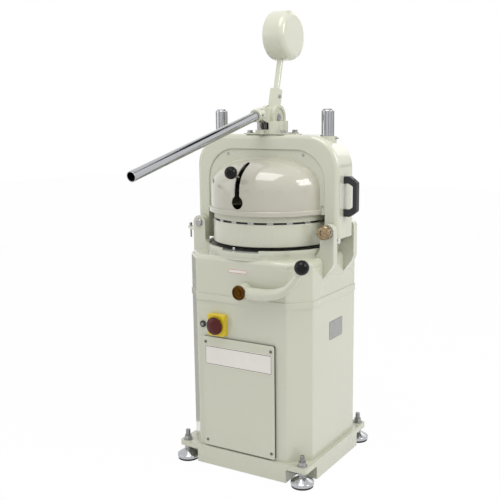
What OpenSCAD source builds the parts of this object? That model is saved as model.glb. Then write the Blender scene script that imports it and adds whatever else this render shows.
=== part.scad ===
// Hand-lever divider rounder: a floor-standing bakery press that flattens a dough cake,
// cuts it with a knife grid and rounds the pieces on an orbiting table.
// Millimetres. X to the right, Y to the back, Z up, floor at Z = 0, press axis on the Z axis.

/* [Base] */
// Width of the plinth
plinth_w = 636; // [624:2:680]
// Depth of the plinth
plinth_d = 592; // [584:2:640]
// Height of the plinth top above the floor
plinth_top = 86; // [80:1:110]
// Thickness of the plinth plate and its corner lugs
plinth_t = 24; // [18:1:28]
// Length of the notch in the skirt at each corner
notch = 96; // [86:1:110]
// Thickness of the skirt wall
skirt_t = 14; // [8:1:20]
// Gap between the skirt and the floor
skirt_gap = 4; // [3:1:24]
// Corner radius of the plinth
plinth_r = 12; // [4:1:20]
// Distance of the cabinet sides from the plinth edge
cab_in_x = 20.5; // [13:0.5:28]
// Distance of the cabinet front and back from the plinth edge
cab_in_y = 15; // [8:0.5:21]
// Height of the cabinet between plinth and seam
cab_h = 646; // [620:1:720]
// Width of the 45 degree corner cut
cab_cut = 81; // [70:1:90]
// Wall of the cabinet
cab_wall = 6; // [4:1:10]
// Radius on the upright corners
cab_r = 14; // [6:1:20]

/* [Feet] */
// Diameter of a foot pad
pad_d = 98; // [84:1:104]
// Height of a foot pad with its neck
pad_h = 44; // [40:1:46]
// Thickness of the rubber under a pad
rubber_t = 9; // [6:1:11]
// Height of the rim of a foot pad
pad_rim = 14; // [10:1:16]
// Diameter of a levelling stud
stud_d = 20; // [14:1:24]
// Height of the stud top above the plinth
stud_rise = 46; // [36:1:60]
// Distance of a foot from the plinth edge, along X
foot_in_x = 30; // [27:1:36]
// Distance of a foot from the plinth edge, along Y
foot_in_y = 22; // [21:1:30]
// Height of a levelling nut
nut_h = 16; // [10:1:18]

/* [Upper housing] */
// Height of the housing from the seam to the deck
housing_h = 198; // [190:1:230]
// Wall of the housing
housing_wall = 16; // [12:1:22]
// Thickness of the deck
deck_t = 25; // [20:1:30]
// Radius of the shoulder round the deck
shoulder_r = 22; // [10:1:26]
// Height of the lip at the seam
lip_h = 28; // [16:1:40]
// How far the lip stands out
lip_out = 4; // [2:0.5:7]
// Wall of the rim round the table
rim_t = 8; // [6:1:12]
// Rise of the rim above the deck
rim_rise = 36; // [30:1:37]
// Thickness of an ear
ear_t = 34; // [26:1:40]
// Radius of an ear round its pin
ear_r = 31; // [26:1:34]
// Rise of the hinge pin above the deck
pin_rise = 108; // [100:1:130]
// Diameter of the hinge pin and of the lock spindle
pin_d = 34; // [24:1:36]

/* [Head] */
// Width of the arched head
head_w = 688; // [680:1:700]
// Depth of the arched head
head_d = 152; // [148:1:164]
// Height of the head top above the hinge pin
head_h = 385; // [380:1:410]
// Outer corner radius of the arch
arch_r = 140; // [120:1:150]
// Radius along the outer edges of the arch
arch_edge = 20; // [8:1:24]
// Wall of a leg
leg_wall = 25; // [18:1:28]
// Wall at the top of the arch
crown_wall = 28; // [20:1:34]
// Distance of the hinge pin from the outer face of the leg
pin_in = 30; // [27:1:32]
// Depth of the recess for a cover flange
recess = 12; // [8:1:16]

/* [Bell covers] */
// Wall of a bell cover
bell_wall = 4; // [3:0.5:5]
// Height of the straight part of a bell
bell_skirt = 88; // [76:1:100]
// Fullness of the dome, with 2 for an ellipse
bell_full = 2.5; // [2:0.1:3]
// Height of the domed part of a bell
bell_dome = 145; // [136:1:165]
// Width of the rolled lip
roll_w = 8; // [5:1:10]
// Height of the rolled lip
roll_h = 22; // [14:1:28]
// Width of the cut lever slot
slot_w = 24; // [18:1:28]
// Diameter of the hole at the foot of the slot
slot_hole = 54; // [53:1:60]
// Thickness of a cover flange
flange_t = 6; // [4:1:8]

/* [Press] */
// Distance of the containing ring from the outer face of a leg
ring_in = 84; // [82:1:90]
// Wall of the containing ring
ring_wall = 13; // [12:1:16]
// Height of the containing ring
ring_h = 93; // [86:1:96]
// Gap between the lowered ring and the table
ring_gap = 19; // [16:1:30]
// Height of the spacers on the ring
spacer_h = 8; // [6:1:18]
// Number of spacers
spacers = 20; // [12:1:24]
// Depth of the dough space inside the ring
dough_h = 25; // [20:1:30]
// Thickness of the flange of the press plate
plate_flange = 24; // [14:1:28]
// Height of the hub between press plate and crosshead
hub_h = 65; // [62:1:80]
// Thickness of the crosshead
cross_t = 40; // [32:1:48]
// Distance of a guide column from the outer face of a leg
column_in = 84; // [80:1:90]
// Diameter of a guide column
column_d = 52; // [44:1:54]
// Rise of the lowered columns above the head
column_rise = 104; // [90:1:130]

/* [Knives] */
// Thickness of a knife
knife_t = 3; // [2:0.5:4]
// Height of the knife grid
knife_h = 50; // [44:1:54]
// Travel of the knives
knife_stroke = 36; // [25:1:36]
// Pieces in the middle, inner and outer row
pieces = [4, 10, 16];

/* [Press lever] */
// Rise of the lever pivot above the head
pivot_rise = 69; // [66:1:80]
// Module of the lift gear
gear_m = 3; // [2.5:0.1:3.2]
// Upward swing of the lever from its rest
lever_swing = 88; // [60:1:88]
// Droop of the lever below level at rest
lever_droop = 13.4; // [10:0.1:16]
// Outer diameter of the lever tube
tube_d = 38; // [34:0.5:40]
// Wall of the lever tube
tube_wall = 3; // [2:0.2:5]
// Length of the lever tube
tube_l = 850; // [600:5:1000]
// Distance of the counterweight from the pivot
weight_reach = 353; // [320:1:400]
// Backward lean of the counterweight stalk
weight_lean = 15.5; // [8:0.5:20]
// Diameter of the counterweight
weight_d = 206; // [160:1:220]
// Thickness of the counterweight
weight_t = 110; // [80:1:120]
// Diameter of the stalk
stalk_d = 27; // [20:1:30]

/* [Table] */
// Overhang of the rounding table beyond the ring
table_over = 10; // [2:1:11]
// Thickness of the table
table_t = 16; // [14:1:18]
// Rise of the table top above the deck
table_rise = 26; // [24:1:28]
// Throw of the orbit
orbit = 8; // [4:1:8]
// Diameter of the crank pin
crank_pin_d = 40; // [30:1:44]
// Diameter of the crank shaft
shaft_d = 45; // [35:1:50]

/* [Rounding lever] */
// Distance of the lever hub to the right of the press axis
rl_x = 30; // [10:1:40]
// Height of the lever hub below the deck
rl_drop = 130; // [110:1:140]
// Reach of the ball from the hub, along X
rl_reach = 276; // [240:1:290]
// Rise of the ball above the hub
rl_rise = 125; // [90:1:140]
// Diameter of the ball
rl_ball = 60; // [44:1:64]

/* [Controls] */
// Width of the switch box
switch_w = 82; // [80:1:92]
// Height of the switch box
switch_h = 92; // [84:1:100]
// Depth of the switch box
switch_d = 25; // [18:1:32]
// Diameter of the stop button
stop_d = 76; // [60:1:78]
// Travel of the stop button
stop_travel = 5; // [3:0.5:6]
// Diameter of the reset bezel
reset_d = 28; // [22:1:32]
// Travel of the reset button
reset_travel = 3; // [2:0.5:4]
// Distance of the front panel from the left corner of the cabinet front
panel_left = 32.5; // [28:0.5:48]
// Distance of the front panel from the right corner of the cabinet front
panel_right = 48.5; // [44:0.5:64]
// Distance of the front panel below the seam
panel_down = 149; // [147:1:199]
// Thickness of the front panel
panel_t = 11; // [8:0.5:13]
// Centre to centre of the bridge handle
handle_l = 134; // [110:1:150]
// Distance of the handle grip from the head
handle_out = 50; // [44:1:60]
// Diameter of the cut lever ball
cut_ball = 52; // [40:1:52]

/* [Drive] */
// Radius of the motor body
motor_r = 88; // [70:1:92]
// Length of the motor body
motor_l = 230; // [180:1:260]
// Distance of the motor from the press axis, along X
motor_x = 124; // [118:1:130]
// Distance of the motor from the press axis, along Y
motor_y = 124; // [118:1:130]
// Groove radius of the driven pulley
driven_r = 110; // [90:1:115]
// Groove radius of the motor pulley
motor_pulley_r = 37; // [30:1:44]

/* [Clearances] */
// Clearance of a running fit, on the radius
run = 0.05; // [0.02:0.01:0.1]
// Clearance between faces that pass each other
face = 0.3; // [0.2:0.05:0.5]
// Clearance between the head and each ear
ear_clear = 3.5; // [2:0.5:5]
// Clearance between the ring and the bell
ring_clear = 4; // [3:0.5:5]
// Clearance of a knife in its slot
knife_clear = 0.5; // [0.4:0.1:0.8]

/* [Hidden] */
$fn = 64;
cream = [0.87, 0.86, 0.77];
steel = [0.72, 0.73, 0.74];
chrome = [0.85, 0.86, 0.88];
black = [0.06, 0.06, 0.07];
grey = [0.5, 0.51, 0.51];
bronze = [0.6, 0.42, 0.22];
through = 2;

z_seam = plinth_top + cab_h;
z_deck = z_seam + housing_h;
z_pin = z_deck + pin_rise;
z_head = z_pin + head_h;
z_pivot = z_head + pivot_rise;
z_table = z_deck + table_rise;
z_ring = z_table + ring_gap;
z_ring_top = z_ring + ring_h;
z_flange = z_ring_top + spacer_h;
z_hub = z_flange + plate_flange;
z_cross = z_hub + hub_h;
z_cross_top = z_cross + cross_t;
z_cover = z_hub + 0.5;
slot_rise = 55;
slot_h = 145;
slot_end = 110;
recess_h = 260;
z_dome = z_cover + bell_skirt;
z_plate = z_ring + dough_h;

cab_w = plinth_w - 2 * cab_in_x;
cab_d = plinth_d - 2 * cab_in_y;
flat_x = cab_w / 2 - cab_cut;
front = -cab_d / 2;
ring_r = head_w / 2 - ring_in;
column_x = head_w / 2 - column_in;
table_r = ring_r + table_over;
pin_x = head_w / 2 - pin_in;
ear_in = head_d / 2 + ear_clear;
ear_out = ear_in + ear_t;
bell_r = ring_r + ring_clear + bell_wall;
recess_margin = 13;
recess_w = bell_r + recess_margin;
recess_top = z_cover + recess_h;
cover_gap = 0.5;
recess_r = 130;
seat_y = head_d / 2 - recess;
throw = -orbit;
rim_in = table_r + orbit + 2;
rim_band = 17;
rim_lip = 3;
rim_front = table_rise;
rim_gap = 88;
foot_x = plinth_w / 2 - foot_in_x;
foot_y = plinth_d / 2 - foot_in_y;

pitch_r = 14 * gear_m;
gear_n = 28;
stroke = pitch_r * lever_swing * PI / 180;
tooth = PI * gear_m;
backlash = 0.5;
rack_y = -pitch_r;
rack_back = rack_y - 20;
rack_w = 15;

post_w = 120;
post_front = rack_back - 11;
post_rear = 67;
post_h = 54;
post_r = 58;
slot_half = 20;
yoke_w = 39;
cheek_in = 9.5;
lug_out = 34;
hub_r = pitch_r + gear_m;
socket_r = tube_d / 2 + 7;
socket_up = 40;
socket_near = 95;
socket_far = 138;
socket_root = socket_near + 15;
arm_tuck = 3;

web_t = 9.5;
guide_r = 175;
guide_d = 30;
guide_pin_d = 18;
deck_hole = 90;

cut_x = -15;
cut_y = -95;
cut_z = z_cross + 23;
cut_rise = 23.2;
cut_out = 60;
cut_reach = bell_r + cut_y + cut_out;
cut_rod = 14;
tongue_y = -165;
z_bridge = z_hub + knife_stroke + 4;
bridge_t = 10;

rl_z = z_deck - rl_drop;
rl_hub_r = 33;
rl_boss = 10;
rl_hub_y0 = front - rl_boss - face;
rl_hub_l = 42;
cap_r = 30;
rl_y = rl_hub_y0 - rl_hub_l / 2;

z_switch = z_seam - 92;
reset_in = 30.5;
reset_x = reset_in - flat_x;
switch_step = 81;
switch_x = reset_x + switch_step;
panel_low = 7;
panel_sheet = 3;
panel_edge = 30;
panel_w = 2 * flat_x - panel_left - panel_right;
panel_h = cab_h - panel_low - panel_down;
panel_x = (panel_left - panel_right) / 2;
z_panel = plinth_top + panel_low;

gland_r = 12.5;
shaft_r = 15;
stop_x = pin_x + 86;
stop_y = -58;
stop_bolt_d = 8;
stop_lug_t = 12;
stop_drop = 12.4;
z_stop = z_pin - stop_drop - face;
z_stop_lug = z_stop - 26;
stop_stem = 14;
lock_r = 30;
lock_flange = 28;
spacer_w = 26;
spacer_t = 9;
motor_foot = 46;
reset_r = 6.5;
z_belt = z_seam + 30;
belt_h = 13;
belt_t = 8;
z_bridge_deck = z_deck - deck_t;
z_web = z_bridge_deck + 2;
web_r = 50;
web_h = 10;
bridge_r = 150;
bridge_neck = 58;
pulley_h = 26;
pulley_hub = 45;
pulley_hub_l = 40;
belt_room = 30;
bearing_r = 44;
bearing_h = 20;
heel = 69;
lug_low = 35;
leg_in = 58;
lug_round = 24;
z_heel = z_pin - heel;
handle_y = -9;
handle_z = z_pin + 136;
bolt_x = 80;
bolt_y = 52;
post_flange = 5;
pivot_r = 15;
bolt_mid = -3;
rest_x = -14;
rest_along = 88;
cheek_slope = (socket_up - socket_r + arm_tuck + hub_r) / socket_root;
rest_low = rest_along * cheek_slope - hub_r;
rest_y = -rest_along * cos(lever_droop) - rest_low * sin(lever_droop);
rest_z = z_pivot - rest_along * sin(lever_droop) + rest_low * cos(lever_droop);
rest_tilt = atan(cheek_slope) - lever_droop;
stalk_low = 80;
rows = len(pieces);
press_r = ring_r - ring_wall - 1;
bridge_half = 16;
neck_gap = 11;
neck_r = floor(row_r(0) - bridge_half - neck_gap);
gland_in = 66.5;
gland_x = flat_x - gland_in;
z_gland = plinth_top + 70;
z_reset = z_switch - 8;
z_motor = z_seam - 10;
motor_shaft_r = 12;
bush_r = column_d / 2 + 6;
boss_r = bush_r + 5;
bush_l = 84;
z_bush = z_head - 90;
seat_wall = 12;
arm_root = 10;
ease = 0.02;
z_post_floor = z_pivot - hub_r - 4;

// Solid between two X planes from an outline in Y and Z
module across_x(x0, x1) {
    translate([x0, 0, 0]) rotate([90, 0, 90]) linear_extrude(x1 - x0) children();
}

// Solid between two Y planes from an outline in X and Z
module across_y(y0, y1) {
    translate([0, y1, 0]) rotate([90, 0, 0]) linear_extrude(y1 - y0) children();
}

// Round bar along X
module bar_x(r, x0, x1) {
    translate([x0, 0, 0]) rotate([0, 90, 0]) cylinder(r = r, h = x1 - x0);
}

// Round bar along Y
module bar_y(r, y0, y1) {
    translate([0, y1, 0]) rotate([90, 0, 0]) cylinder(r = r, h = y1 - y0);
}

// Children at the four combinations of plus and minus x and y
module at_corners(x, y) {
    for (sx = [-1, 1], sy = [-1, 1]) translate([sx * x, sy * y, 0]) children();
}

function unit(v) = v / norm(v);
function turned(p, q) = unit(q - p);

// Convex outline with its own radius at each corner
module round_outline(points, radii) {
    n = len(points);
    prev = [for (i = [0:n - 1]) turned(points[i], points[(i + n - 1) % n])];
    next = [for (i = [0:n - 1]) turned(points[i], points[(i + 1) % n])];
    half = [for (i = [0:n - 1]) acos(prev[i] * next[i]) / 2];
    tuck = [for (i = [0:n - 1]) radii[i] > 0 && abs(prev[i] * next[i]) > 0.01 ? ease : 0];
    polygon([for (i = [0:n - 1], side = [prev[i], next[i]])
        points[i] + side * radii[i] / tan(half[i]) + unit(prev[i] + next[i]) * tuck[i]]);
    for (i = [0:n - 1])
        if (radii[i] > 0)
            translate(points[i] + unit(prev[i] + next[i]) * radii[i] / sin(half[i])) circle(r = radii[i]);
}

// Rectangle with equal corner radii
module round_rect(w, d, r) {
    round_outline([[-w / 2, -d / 2], [w / 2, -d / 2], [w / 2, d / 2], [-w / 2, d / 2]], [r, r, r, r]);
}

// Arch outline standing on z0, with rounded upper corners
module arch_outline(half, z0, z1, r) {
    round_outline([[-half, z0], [half, z0], [half, z1], [-half, z1]], [0, 0, r, r]);
}

function oct_points(w, d, c) = [
    [-w / 2 + c, -d / 2], [w / 2 - c, -d / 2], [w / 2, -d / 2 + c], [w / 2, d / 2 - c],
    [w / 2 - c, d / 2], [-w / 2 + c, d / 2], [-w / 2, d / 2 - c], [-w / 2, -d / 2 + c]
];

// Rectangle with its corners cut at 45 degrees and softened
module oct_outline(w, d, c, r) {
    round_outline(oct_points(w, d, c), [for (i = [0:7]) r]);
}

// Cutter that rounds the top edge between two outline points
module round_over(p, q, r) {
    run_l = norm(q - p);
    translate([p[0], p[1], 0]) rotate([0, 0, atan2(q[1] - p[1], q[0] - p[0])])
        translate([-r, 0, 0]) rotate([90, 0, 90]) linear_extrude(run_l + 2 * r)
            difference() {
                translate([-r, -r]) square([2 * r, 2 * r]);
                translate([r, -r]) circle(r = r);
            }
}

// Hexagon prism by its width across flats
module hex(af, h) {
    cylinder(d = af / cos(30), h = h, $fn = 6);
}

// Plan of the skirt, set in from its outer faces, round the four corner notches
module skirt_plan(inset) {
    difference() {
        square([plinth_w - 2 * inset, plinth_d - 2 * inset], center = true);
        at_corners(plinth_w / 2, plinth_d / 2) square(2 * (notch + inset), center = true);
    }
}

// Plate with skirt walls, open corners for the feet and a lug over each foot
module plinth() {
    color(cream) difference() {
        union() {
            translate([0, 0, plinth_top - plinth_t])
                linear_extrude(plinth_t) round_rect(plinth_w, plinth_d, plinth_r);
            translate([0, 0, skirt_gap]) linear_extrude(plinth_top - plinth_t - skirt_gap)
                difference() {
                    skirt_plan(0);
                    skirt_plan(skirt_t);
                }
        }
        translate([0, 0, plinth_top - plinth_t - 1]) linear_extrude(plinth_t + 2)
            oct_outline(cab_w - 150, cab_d - 150, cab_cut, cab_r);
        at_corners(foot_x, foot_y) translate([0, 0, plinth_top - plinth_t - 1])
            cylinder(d = stud_d + 2 * run, h = plinth_t + 2);
    }
}

// Sheet cabinet with cut corners and the service opening behind the front panel
module cabinet() {
    window_w = panel_w - 40;
    window_h = panel_h - 40;
    color(cream) difference() {
        translate([0, 0, plinth_top]) linear_extrude(cab_h) difference() {
            oct_outline(cab_w, cab_d, cab_cut, cab_r);
            oct_outline(cab_w - 2 * cab_wall, cab_d - 2 * cab_wall, cab_cut - cab_wall * 0.6, cab_r - 4);
        }
        translate([panel_x, 0, z_panel + panel_h / 2]) across_y(front - 1, front + cab_wall + 1)
            round_rect(window_w, window_h, 10);
        panel_holes() bar_y(3, front - 1, front + cab_wall + 1);
        translate([switch_x, 0, z_switch]) bar_y(9, front - 1, front + cab_wall + 1);
        translate([reset_x, 0, z_reset]) bar_y(reset_d / 2 - 5, front - 1, front + cab_wall + 1);
        translate([gland_x, 0, z_gland]) bar_y(gland_r, -front - cab_wall - 1, -front + 1);
    }
}

// The places of the four panel screws
module panel_holes() {
    for (sx = [-1, 1], sz = [-1, 1])
        translate([panel_x + sx * (panel_w / 2 - 16), 0, z_panel + panel_h / 2 + sz * (panel_h / 2 - 24)])
            children();
}

function side(s) = s * pin_x;

// Outline of one ear in X and Z, for the right side
module ear_outline() {
    translate([pin_x, z_pin]) circle(r = ear_r);
    polygon([
        [pin_x - ear_r, z_pin], [pin_x - ear_r, z_deck + 34], [pin_x - ear_r - 26, z_deck - 4],
        [cab_w / 2 - 40, z_deck - 90], [cab_w / 2 + 0.2, z_deck - 88], [pin_x + ear_r - 8, z_deck - 38],
        [pin_x + ear_r, z_deck - 18], [pin_x + ear_r, z_pin]
    ]);
}

// Lug on the front left ear for the stop bolt, in X and Y
module stop_lug_outline() {
    edge = -pin_x - ear_r;
    translate([edge - 4, -ear_out + 6]) square([20, ear_t - 6]);
    round_outline([
        [edge + 1, -ear_out + 6], [edge + 1, -ear_in], [-stop_x + 10, stop_y + 13],
        [-stop_x - 12, stop_y + 10], [-stop_x - 12, stop_y - 6]
    ], [1, 1, 5, 8, 6]);
}

// Hollow casting that carries the deck, the table rim and the four ears of the head
module upper_housing() {
    outline = oct_points(cab_w, cab_d, cab_cut);
    color(cream) difference() {
        union() {
            difference() {
                translate([0, 0, z_seam]) linear_extrude(housing_h) oct_outline(cab_w, cab_d, cab_cut, cab_r);
                translate([0, 0, z_deck])
                    for (i = [0:7]) round_over(outline[i], outline[(i + 1) % 8], shoulder_r);
            }
            translate([0, 0, z_seam + 6]) linear_extrude(lip_h)
                oct_outline(cab_w + 2 * lip_out, cab_d + 2 * lip_out, cab_cut + lip_out, cab_r);
            translate([0, 0, z_deck - 8]) cylinder(r = rim_in + rim_t - rim_lip, h = rim_rise + 8, $fn = 128);
            translate([0, 0, z_deck + rim_rise - rim_band])
                cylinder(r = rim_in + rim_t, h = rim_band, $fn = 128);
            intersection() {
                translate([0, 0, z_deck + rim_front - rim_band])
                    cylinder(r = rim_in + rim_t, h = rim_band, $fn = 128);
                translate([-rim_gap - rim_t, -2 * rim_in, z_deck])
                    cube([2 * rim_gap + 2 * rim_t, 2 * rim_in, rim_front]);
            }
            for (s = [0, 1], sy = [-1, 1]) mirror([s, 0, 0])
                across_y(sy > 0 ? ear_in : -ear_out, sy > 0 ? ear_out : -ear_in) ear_outline();
            translate([rl_x, 0, rl_z]) bar_y(rl_hub_r - 2, front - rl_boss, front + 4);
            translate([0, 0, z_stop_lug]) linear_extrude(stop_lug_t) stop_lug_outline();
        }
        translate([0, 0, z_deck]) cylinder(r = rim_in, h = rim_rise + through, $fn = 128);
        translate([-rim_gap, -2 * rim_in, z_deck + rim_front])
            cube([2 * rim_gap, 2 * rim_in, rim_rise]);
        translate([0, 0, z_seam - 1]) linear_extrude(housing_h - deck_t + 1)
            oct_outline(cab_w - 2 * housing_wall, cab_d - 2 * housing_wall, cab_cut - 9, cab_r - 4);
        translate([0, 0, z_deck - deck_t - 1]) cylinder(r = deck_hole, h = deck_t + 2);
        for (i = [0:2]) rotate([0, 0, 90 + i * 120]) translate([guide_r, 0, z_deck - deck_t - 1])
            cylinder(d = guide_d + 2 * run, h = deck_t + 2);
        for (s = [-1, 1]) translate([side(s), 0, z_pin]) bar_y(pin_d / 2 + run, -ear_out - 1, ear_out + 1);
        translate([rl_x, 0, rl_z]) bar_y(shaft_r + run, front - rl_boss - 1, front + housing_wall + 1);
        translate([-stop_x, stop_y, z_stop_lug - 1]) cylinder(d = stop_bolt_d + 2 * run, h = stop_lug_t + 2);
    }
}

// Bright bell-shaped foot pads
module foot_pads() {
    r = pad_d / 2;
    color(chrome) at_corners(foot_x, foot_y) rotate_extrude() difference() {
        union() {
            polygon([[0, rubber_t], [r, rubber_t], [r, rubber_t + pad_rim - 2], [r - 2, rubber_t + pad_rim],
                [20, pad_h - 4], [16, pad_h - 2], [16, pad_h], [0, pad_h]]);
        }
        translate([0, pad_h - 16]) square([stud_d / 2 + run, 20]);
    }
}

// Rubber discs under the pads
module foot_rubbers() {
    color(black) at_corners(foot_x, foot_y) cylinder(d = pad_d - 6, h = rubber_t);
}

// Levelling studs
module foot_studs() {
    top = plinth_top + stud_rise;
    bottom = pad_h - 16;
    color(steel) at_corners(foot_x, foot_y) translate([0, 0, bottom]) {
        cylinder(d = stud_d, h = top - bottom - 2);
        translate([0, 0, top - bottom - 2]) cylinder(d1 = stud_d, d2 = stud_d - 4, h = 2);
    }
}

// Nut above and below each lug, with a washer on top of the lug
module foot_nuts() {
    washer_t = 4;
    color(steel) at_corners(foot_x, foot_y) {
        translate([0, 0, plinth_top]) nut_blank(washer_t, false);
        translate([0, 0, plinth_top + washer_t]) nut_blank(nut_h, true);
        translate([0, 0, plinth_top - plinth_t - nut_h]) nut_blank(nut_h, true);
    }
}

module nut_blank(h, six_sided) {
    difference() {
        if (six_sided) hex(stud_d * 1.5, h);
        else cylinder(d = stud_d * 2.1, h = h);
        translate([0, 0, -1]) cylinder(d = stud_d + 2 * run, h = h + 2);
    }
}

// Screwed service panel on a thick edge frame
module front_panel() {
    color(cream) difference() {
        translate([panel_x, 0, z_panel + panel_h / 2]) across_y(front - panel_t, front)
            round_rect(panel_w, panel_h, 9);
        translate([panel_x, 0, z_panel + panel_h / 2]) across_y(front - panel_t + panel_sheet, front + 1)
            round_rect(panel_w - 2 * panel_edge, panel_h - 2 * panel_edge, 7);
        panel_holes() bar_y(3, front - panel_t - 1, front + 1);
    }
}

// Pan head screws of the service panel
module panel_screws() {
    color(steel) panel_holes() {
        bar_y(6, front - panel_t - 3, front - panel_t);
        bar_y(3 - run, front - panel_t - 1, front + cab_wall);
    }
}

// Yellow box of the stop switch
module switch_box() {
    color([0.9, 0.75, 0.05]) difference() {
        translate([switch_x, 0, z_switch]) across_y(front - switch_d, front)
            round_rect(switch_w, switch_h, 6);
        translate([switch_x, 0, z_switch]) bar_y(stop_stem + run, front - switch_d - 1, front - 6);
    }
}

// Mushroom button with a domed face
module stop_button() {
    r = stop_d / 2;
    y0 = front - switch_d - stop_travel - face;
    color([0.35, 0.03, 0.05]) translate([switch_x, y0, z_switch]) rotate([90, 0, 0]) {
        rotate_extrude() intersection() {
            translate([0, -44]) circle(r = 66);
            polygon([[0, 0], [r - 4, 0], [r, 5], [r, 30], [0, 30]]);
        }
        translate([0, 0, -switch_d + 8 + stop_travel])
            cylinder(r = stop_stem, h = switch_d - 7 - stop_travel);
    }
}

// Ring round the reset button
module reset_bezel() {
    color(black) translate([reset_x, 0, z_reset]) difference() {
        union() {
            bar_y(reset_d / 2, front - 6, front);
            bar_y(reset_d / 2 - 5, front, front + 20);
        }
        bar_y(reset_r + run, front - 7, front + 17);
    }
}

// Reset button
module reset_button() {
    color([0.55, 0.56, 0.56]) translate([reset_x, 0, z_reset])
        bar_y(reset_r, front - 6 - reset_travel - 1, front + 17 - reset_travel - face);
}

// Cable inlet low on the back
module cable_gland() {
    color(black) translate([gland_x, 0, z_gland]) difference() {
        union() {
            bar_y(gland_r - run, -front - cab_wall - 6, -front);
            rotate([-90, 0, 0]) translate([0, 0, -front]) hex(30, 8);
            bar_y(12, -front + 8, -front + 20);
        }
        bar_y(5, -front - cab_wall - 7, -front + 21);
    }
}

// Pin on which the head swings
module hinge_pin() {
    color(steel) translate([side(-1), 0, z_pin]) {
        bar_y(pin_d / 2, -ear_out - 6, ear_out + 6);
        translate([0, -ear_out - 6, 0]) rotate([90, 0, 0])
            cylinder(r1 = pin_d / 2, r2 = pin_d / 2 - 5, h = 4);
    }
}

// Adjustable bolt that stops the opened head, with its lock nut
module opening_stop() {
    head_t = 6;
    nut_t = 7;
    bolt_l = 66;
    color(steel) translate([-stop_x, stop_y, 0]) {
        translate([0, 0, z_stop - bolt_l]) cylinder(d = stop_bolt_d, h = bolt_l - head_t + 1);
        translate([0, 0, z_stop - head_t]) hex(13, head_t);
        translate([0, 0, z_stop_lug + stop_lug_t]) difference() {
            hex(13, nut_t);
            translate([0, 0, -1]) cylinder(d = stop_bolt_d + 2 * run, h = nut_t + 2);
        }
    }
}

// Spindle that holds the head down on the right
module lock_spindle() {
    color(steel) translate([side(1), 0, z_pin]) {
        bar_y(pin_d / 2, -ear_out - 14, ear_out + 4);
        bar_y(lock_flange, -ear_out - 14, -ear_out - face);
    }
}

// Polished knob on the spindle, with grip flutes
module lock_knob() {
    color(bronze) translate([side(1), -ear_out - 14, z_pin]) rotate([90, 0, 0]) difference() {
        union() {
            cylinder(r = lock_r, h = 16);
            translate([0, 0, 16]) cylinder(r1 = lock_r, r2 = lock_r - 5, h = 6);
        }
        for (i = [0:7]) rotate([0, 0, i * 45]) translate([lock_r + 4, 0, -1]) cylinder(r = 8, h = 24);
        translate([0, 0, 17]) cylinder(r = lock_r - 16, h = 6);
    }
}

// Drive motor, hung by its foot plate on the left wall of the cabinet
module motor() {
    wall_x = -cab_w / 2 + cab_wall + run;
    color([0.35, 0.4, 0.45]) difference() {
        union() {
            translate([-motor_x, motor_y, z_motor - motor_l]) cylinder(r = motor_r, h = motor_l - 20);
            translate([-motor_x, motor_y, z_motor - 20]) cylinder(r = motor_r - 12, h = 20);
            for (i = [0:11]) rotate_about(-motor_x, motor_y, i * 30)
                translate([motor_r - 2, -2, z_motor - motor_l + 40]) cube([8, 4, motor_l - 80]);
            translate([wall_x, motor_y - motor_foot / 2, z_motor - motor_l + 50])
                cube([-motor_x - wall_x, motor_foot, motor_l - 100]);
        }
        translate([-motor_x, motor_y, z_motor - 60]) cylinder(r = motor_shaft_r + run, h = 61);
    }
}

module rotate_about(x, y, a) {
    translate([x, y, 0]) rotate([0, 0, a]) children();
}

// Grooved pulley about its own axis, with the belt plane at its middle
module pulley(r, h, bore) {
    rotate_extrude() polygon([
        [bore, -h / 2], [r + 11, -h / 2], [r + 11, -belt_h / 2 - 2], [r, -belt_h / 2 - 0.5],
        [r, belt_h / 2 + 0.5], [r + 11, belt_h / 2 + 2], [r + 11, h / 2], [bore, h / 2]
    ]);
}

// Motor shaft with its pulley
module motor_pulley() {
    color(steel) translate([-motor_x, motor_y, 0]) {
        translate([0, 0, z_belt]) pulley(motor_pulley_r, pulley_h, 0);
        translate([0, 0, z_motor - 50]) cylinder(r = motor_shaft_r, h = z_belt - z_motor + 50);
    }
}

// Loop round two pulleys on their tangents
module belt_loop(grow) {
    gap = norm([motor_x, motor_y]);
    big = driven_r + grow;
    small = motor_pulley_r + grow;
    lean = acos((big - small) / gap);
    rotate([0, 0, atan2(motor_y, -motor_x)]) {
        circle(r = big, $fn = 96);
        translate([gap, 0]) circle(r = small);
        polygon([
            big * [cos(lean), sin(lean)], big * [cos(lean), -sin(lean)],
            [gap, 0] + small * [cos(lean), -sin(lean)], [gap, 0] + small * [cos(lean), sin(lean)]
        ]);
    }
}

// Drive belt
module drive_belt() {
    color(black) translate([0, 0, z_belt - belt_h / 2]) linear_extrude(belt_h) difference() {
        belt_loop(face + belt_t);
        belt_loop(face);
    }
}

// Pulley on the crank shaft
module driven_pulley() {
    color(steel) difference() {
        union() {
            translate([0, 0, z_belt]) pulley(driven_r, pulley_h, shaft_d / 2);
            translate([0, 0, z_belt - pulley_h / 2]) cylinder(r = pulley_hub, h = pulley_hub_l);
        }
        translate([0, 0, z_belt - pulley_h / 2 - 1]) cylinder(d = shaft_d, h = pulley_hub_l + 2);
        for (i = [0:4]) rotate([0, 0, i * 72])
            translate([(pulley_hub + driven_r) / 2 - 3.5, 0, z_belt - pulley_h / 2 - 1])
                cylinder(r = 17, h = pulley_h + 2);
    }
}

// Crank shaft with its throw pin under the table
module crank_shaft() {
    color(steel) {
        translate([0, 0, z_belt - 20]) cylinder(d = shaft_d, h = z_web - z_belt + 20);
        translate([0, 0, z_web]) cylinder(r = web_r, h = web_h);
        translate([throw, 0, z_web + web_h]) cylinder(d = crank_pin_d, h = z_table - 11 - z_web - web_h);
    }
}

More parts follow.
